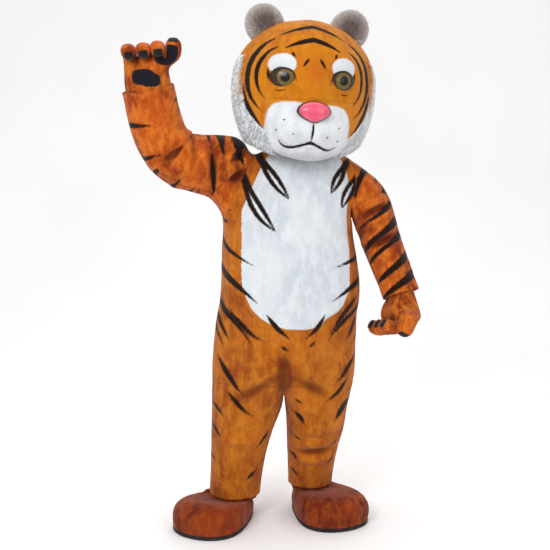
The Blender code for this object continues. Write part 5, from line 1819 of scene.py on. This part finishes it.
def build_sole(side, skin):
    """A flat sole with a rounded edge, under the rim of the boot."""
    lowest = skin.points[:, 2].min()
    rim = skin.points[skin.points[:, 2] < lowest + 1e-6]
    middle = rim.mean(axis=0)
    rim = rim[np.argsort(np.arctan2(rim[:, 1] - middle[1], rim[:, 0] - middle[0]))]
    points, faces = [], []
    profile = ((0.975, 0.0), (1.0, 0.002), (1.006, SOLE * 0.5), (1.0, SOLE - 0.002), (0.985, SOLE))
    for share, up in profile:
        for place in rim:
            x, y = middle[:2] + (place[:2] - middle[:2]) * share
            points.append((x, y, above_floor(up)))
    count = len(rim)
    for k in range(len(profile) - 1):
        for i in range(count):
            j = (i + 1) % count
            faces.append((k * count + i, k * count + j, (k + 1) * count + j, (k + 1) * count + i))
    faces.append(tuple(range(count - 1, -1, -1)))
    faces.append(tuple(range((len(profile) - 1) * count, len(profile) * count)))
    mesh = bpy.data.meshes.new(f"sole_{side}")
    mesh.from_pydata(points, [], faces)
    mesh.shade_smooth()
    mesh.set_sharp_from_angle(angle=math.radians(50))
    add_piece(f"sole_{side}_rubber", mesh, SOLE_BLACK, f"sole_{side}")


# Flat cut of each cloth piece: width and length in metres, area of one side in square metres, and how
# it is held
FLAT = {
    "belly_plush": (0.45, 0.71, 0.262, "stretched"),
    "front_left_plush": (0.26, 0.90, 0.152, "stretched"),
    "front_right_plush": (0.30, 0.90, 0.176, "stretched"),
    "back_left_plush": (0.38, 0.91, 0.288, "stretched"),
    "back_right_plush": (0.39, 0.91, 0.294, "stretched"),
    "back_fly_plush": (0.055, 0.58, 0.031, "stretched"),
    "sleeve_left_plush": (0.52, 0.53, 0.228, "hung"),
    "sleeve_right_plush": (0.68, 0.66, 0.354, "gathered"),
    "leg_left_front_plush": (0.38, 0.44, 0.156, "hung"),
    "leg_left_back_plush": (0.37, 0.44, 0.150, "hung"),
    "leg_right_front_plush": (0.39, 0.45, 0.164, "hung"),
    "leg_right_back_plush": (0.39, 0.45, 0.163, "hung"),
    "paw_left_back_plush": (0.34, 0.33, 0.090, "stretched"),
    "paw_left_palm_plush": (0.18, 0.24, 0.031, "stretched"),
    "paw_right_back_plush": (0.36, 0.34, 0.100, "stretched"),
    "paw_right_palm_plush": (0.21, 0.26, 0.040, "stretched"),
}
FLAT |= {f"pad_{pad}_felt": (0.035, 0.036, 0.0012, "stretched")
         for pad in [f"{side}_{tip}" for side in ("left", "right") for tip in ("1", "2", "3", "thumb")]}


suit = build_suit()
build_fly(suit)
build_head()
for name in ("left", "right"):
    build_paw(name)
    build_boot(name)


def build_stage():
    """A pale floor that curves up into a wall behind."""
    floor = bpy.data.meshes.new("floor")
    size, back, radius, steps = 9.0, 4.2, 2.2, 24
    profile = [(-size, 0.0), (back - radius, 0.0)]
    for i in range(1, steps + 1):
        angle = math.pi / 2 * i / steps
        profile.append((back - radius + math.sin(angle) * radius, radius - math.cos(angle) * radius))
    profile.append((back, 7.0))
    points = [(x, y, z - SHOULDER_HEIGHT) for y, z in profile for x in (-size, size)]
    faces = [(2 * i, 2 * i + 1, 2 * i + 3, 2 * i + 2) for i in range(len(profile) - 1)]
    floor.from_pydata(points, [], faces)
    floor.shade_smooth()
    stage = placed("studio_floor", floor)
    s = Shader("studio_white", roughness=0.85, specular=0.2)
    s.colour(s.mix(s.spread(s.noise(0.8), 0.3, 0.7), (0.90, 0.90, 0.90), (0.94, 0.94, 0.94)))
    floor.materials.append(s.material)


def aim(holder, place, target):
    holder.location = place
    holder.rotation_euler = (Vector(target) - Vector(place)).to_track_quat("-Z", "Y").to_euler()


# Soft lamps: name, place, width and height, power; all point at the middle of the costume
LAMPS = (
    ("key", (-1.7, -3.4, 1.7), (1.6, 1.6), 70),
    ("fill", (2.6, -3.0, 0.7), (2.0, 2.0), 20),
    ("top", (0.0, 0.2, 3.2), (3.0, 2.2), 28),
    ("behind", (0.6, 2.6, 1.8), (2.4, 1.6), 26),
)
LAMP_TARGET = (-0.05, 0.0, -0.3)
WORLD_STRENGTH = 0.80
# The photograph's view
CAMERA_PLACE = (-0.0925, -3.6, above_floor(1.35))
CAMERA_TARGET = (-0.0925, 0.0, above_floor(1.13))
CAMERA_LENS_MM = 63.7
CAMERA_SHIFT = -0.11


def build_lights():
    for name, place, size, power in LAMPS:
        lamp = bpy.data.lights.new(name, "AREA")
        lamp.shape = "RECTANGLE"
        lamp.size, lamp.size_y = size
        lamp.energy = power
        aim(placed(name, lamp), place, LAMP_TARGET)
    world = bpy.data.worlds.new("studio")
    bpy.context.scene.world = world
    world.use_nodes = True
    world.node_tree.nodes["Background"].inputs["Color"].default_value = (1.0, 1.0, 1.0, 1.0)
    world.node_tree.nodes["Background"].inputs["Strength"].default_value = WORLD_STRENGTH
    bpy.context.scene.view_settings.view_transform = "Standard"


def build_camera():
    camera = bpy.data.cameras.new("camera")
    holder = placed("camera", camera)
    aim(holder, CAMERA_PLACE, CAMERA_TARGET)
    camera.sensor_width = 36.0
    camera.lens = CAMERA_LENS_MM
    camera.shift_y = CAMERA_SHIFT
    bpy.context.scene.camera = holder


build_stage()
build_lights()
build_camera()
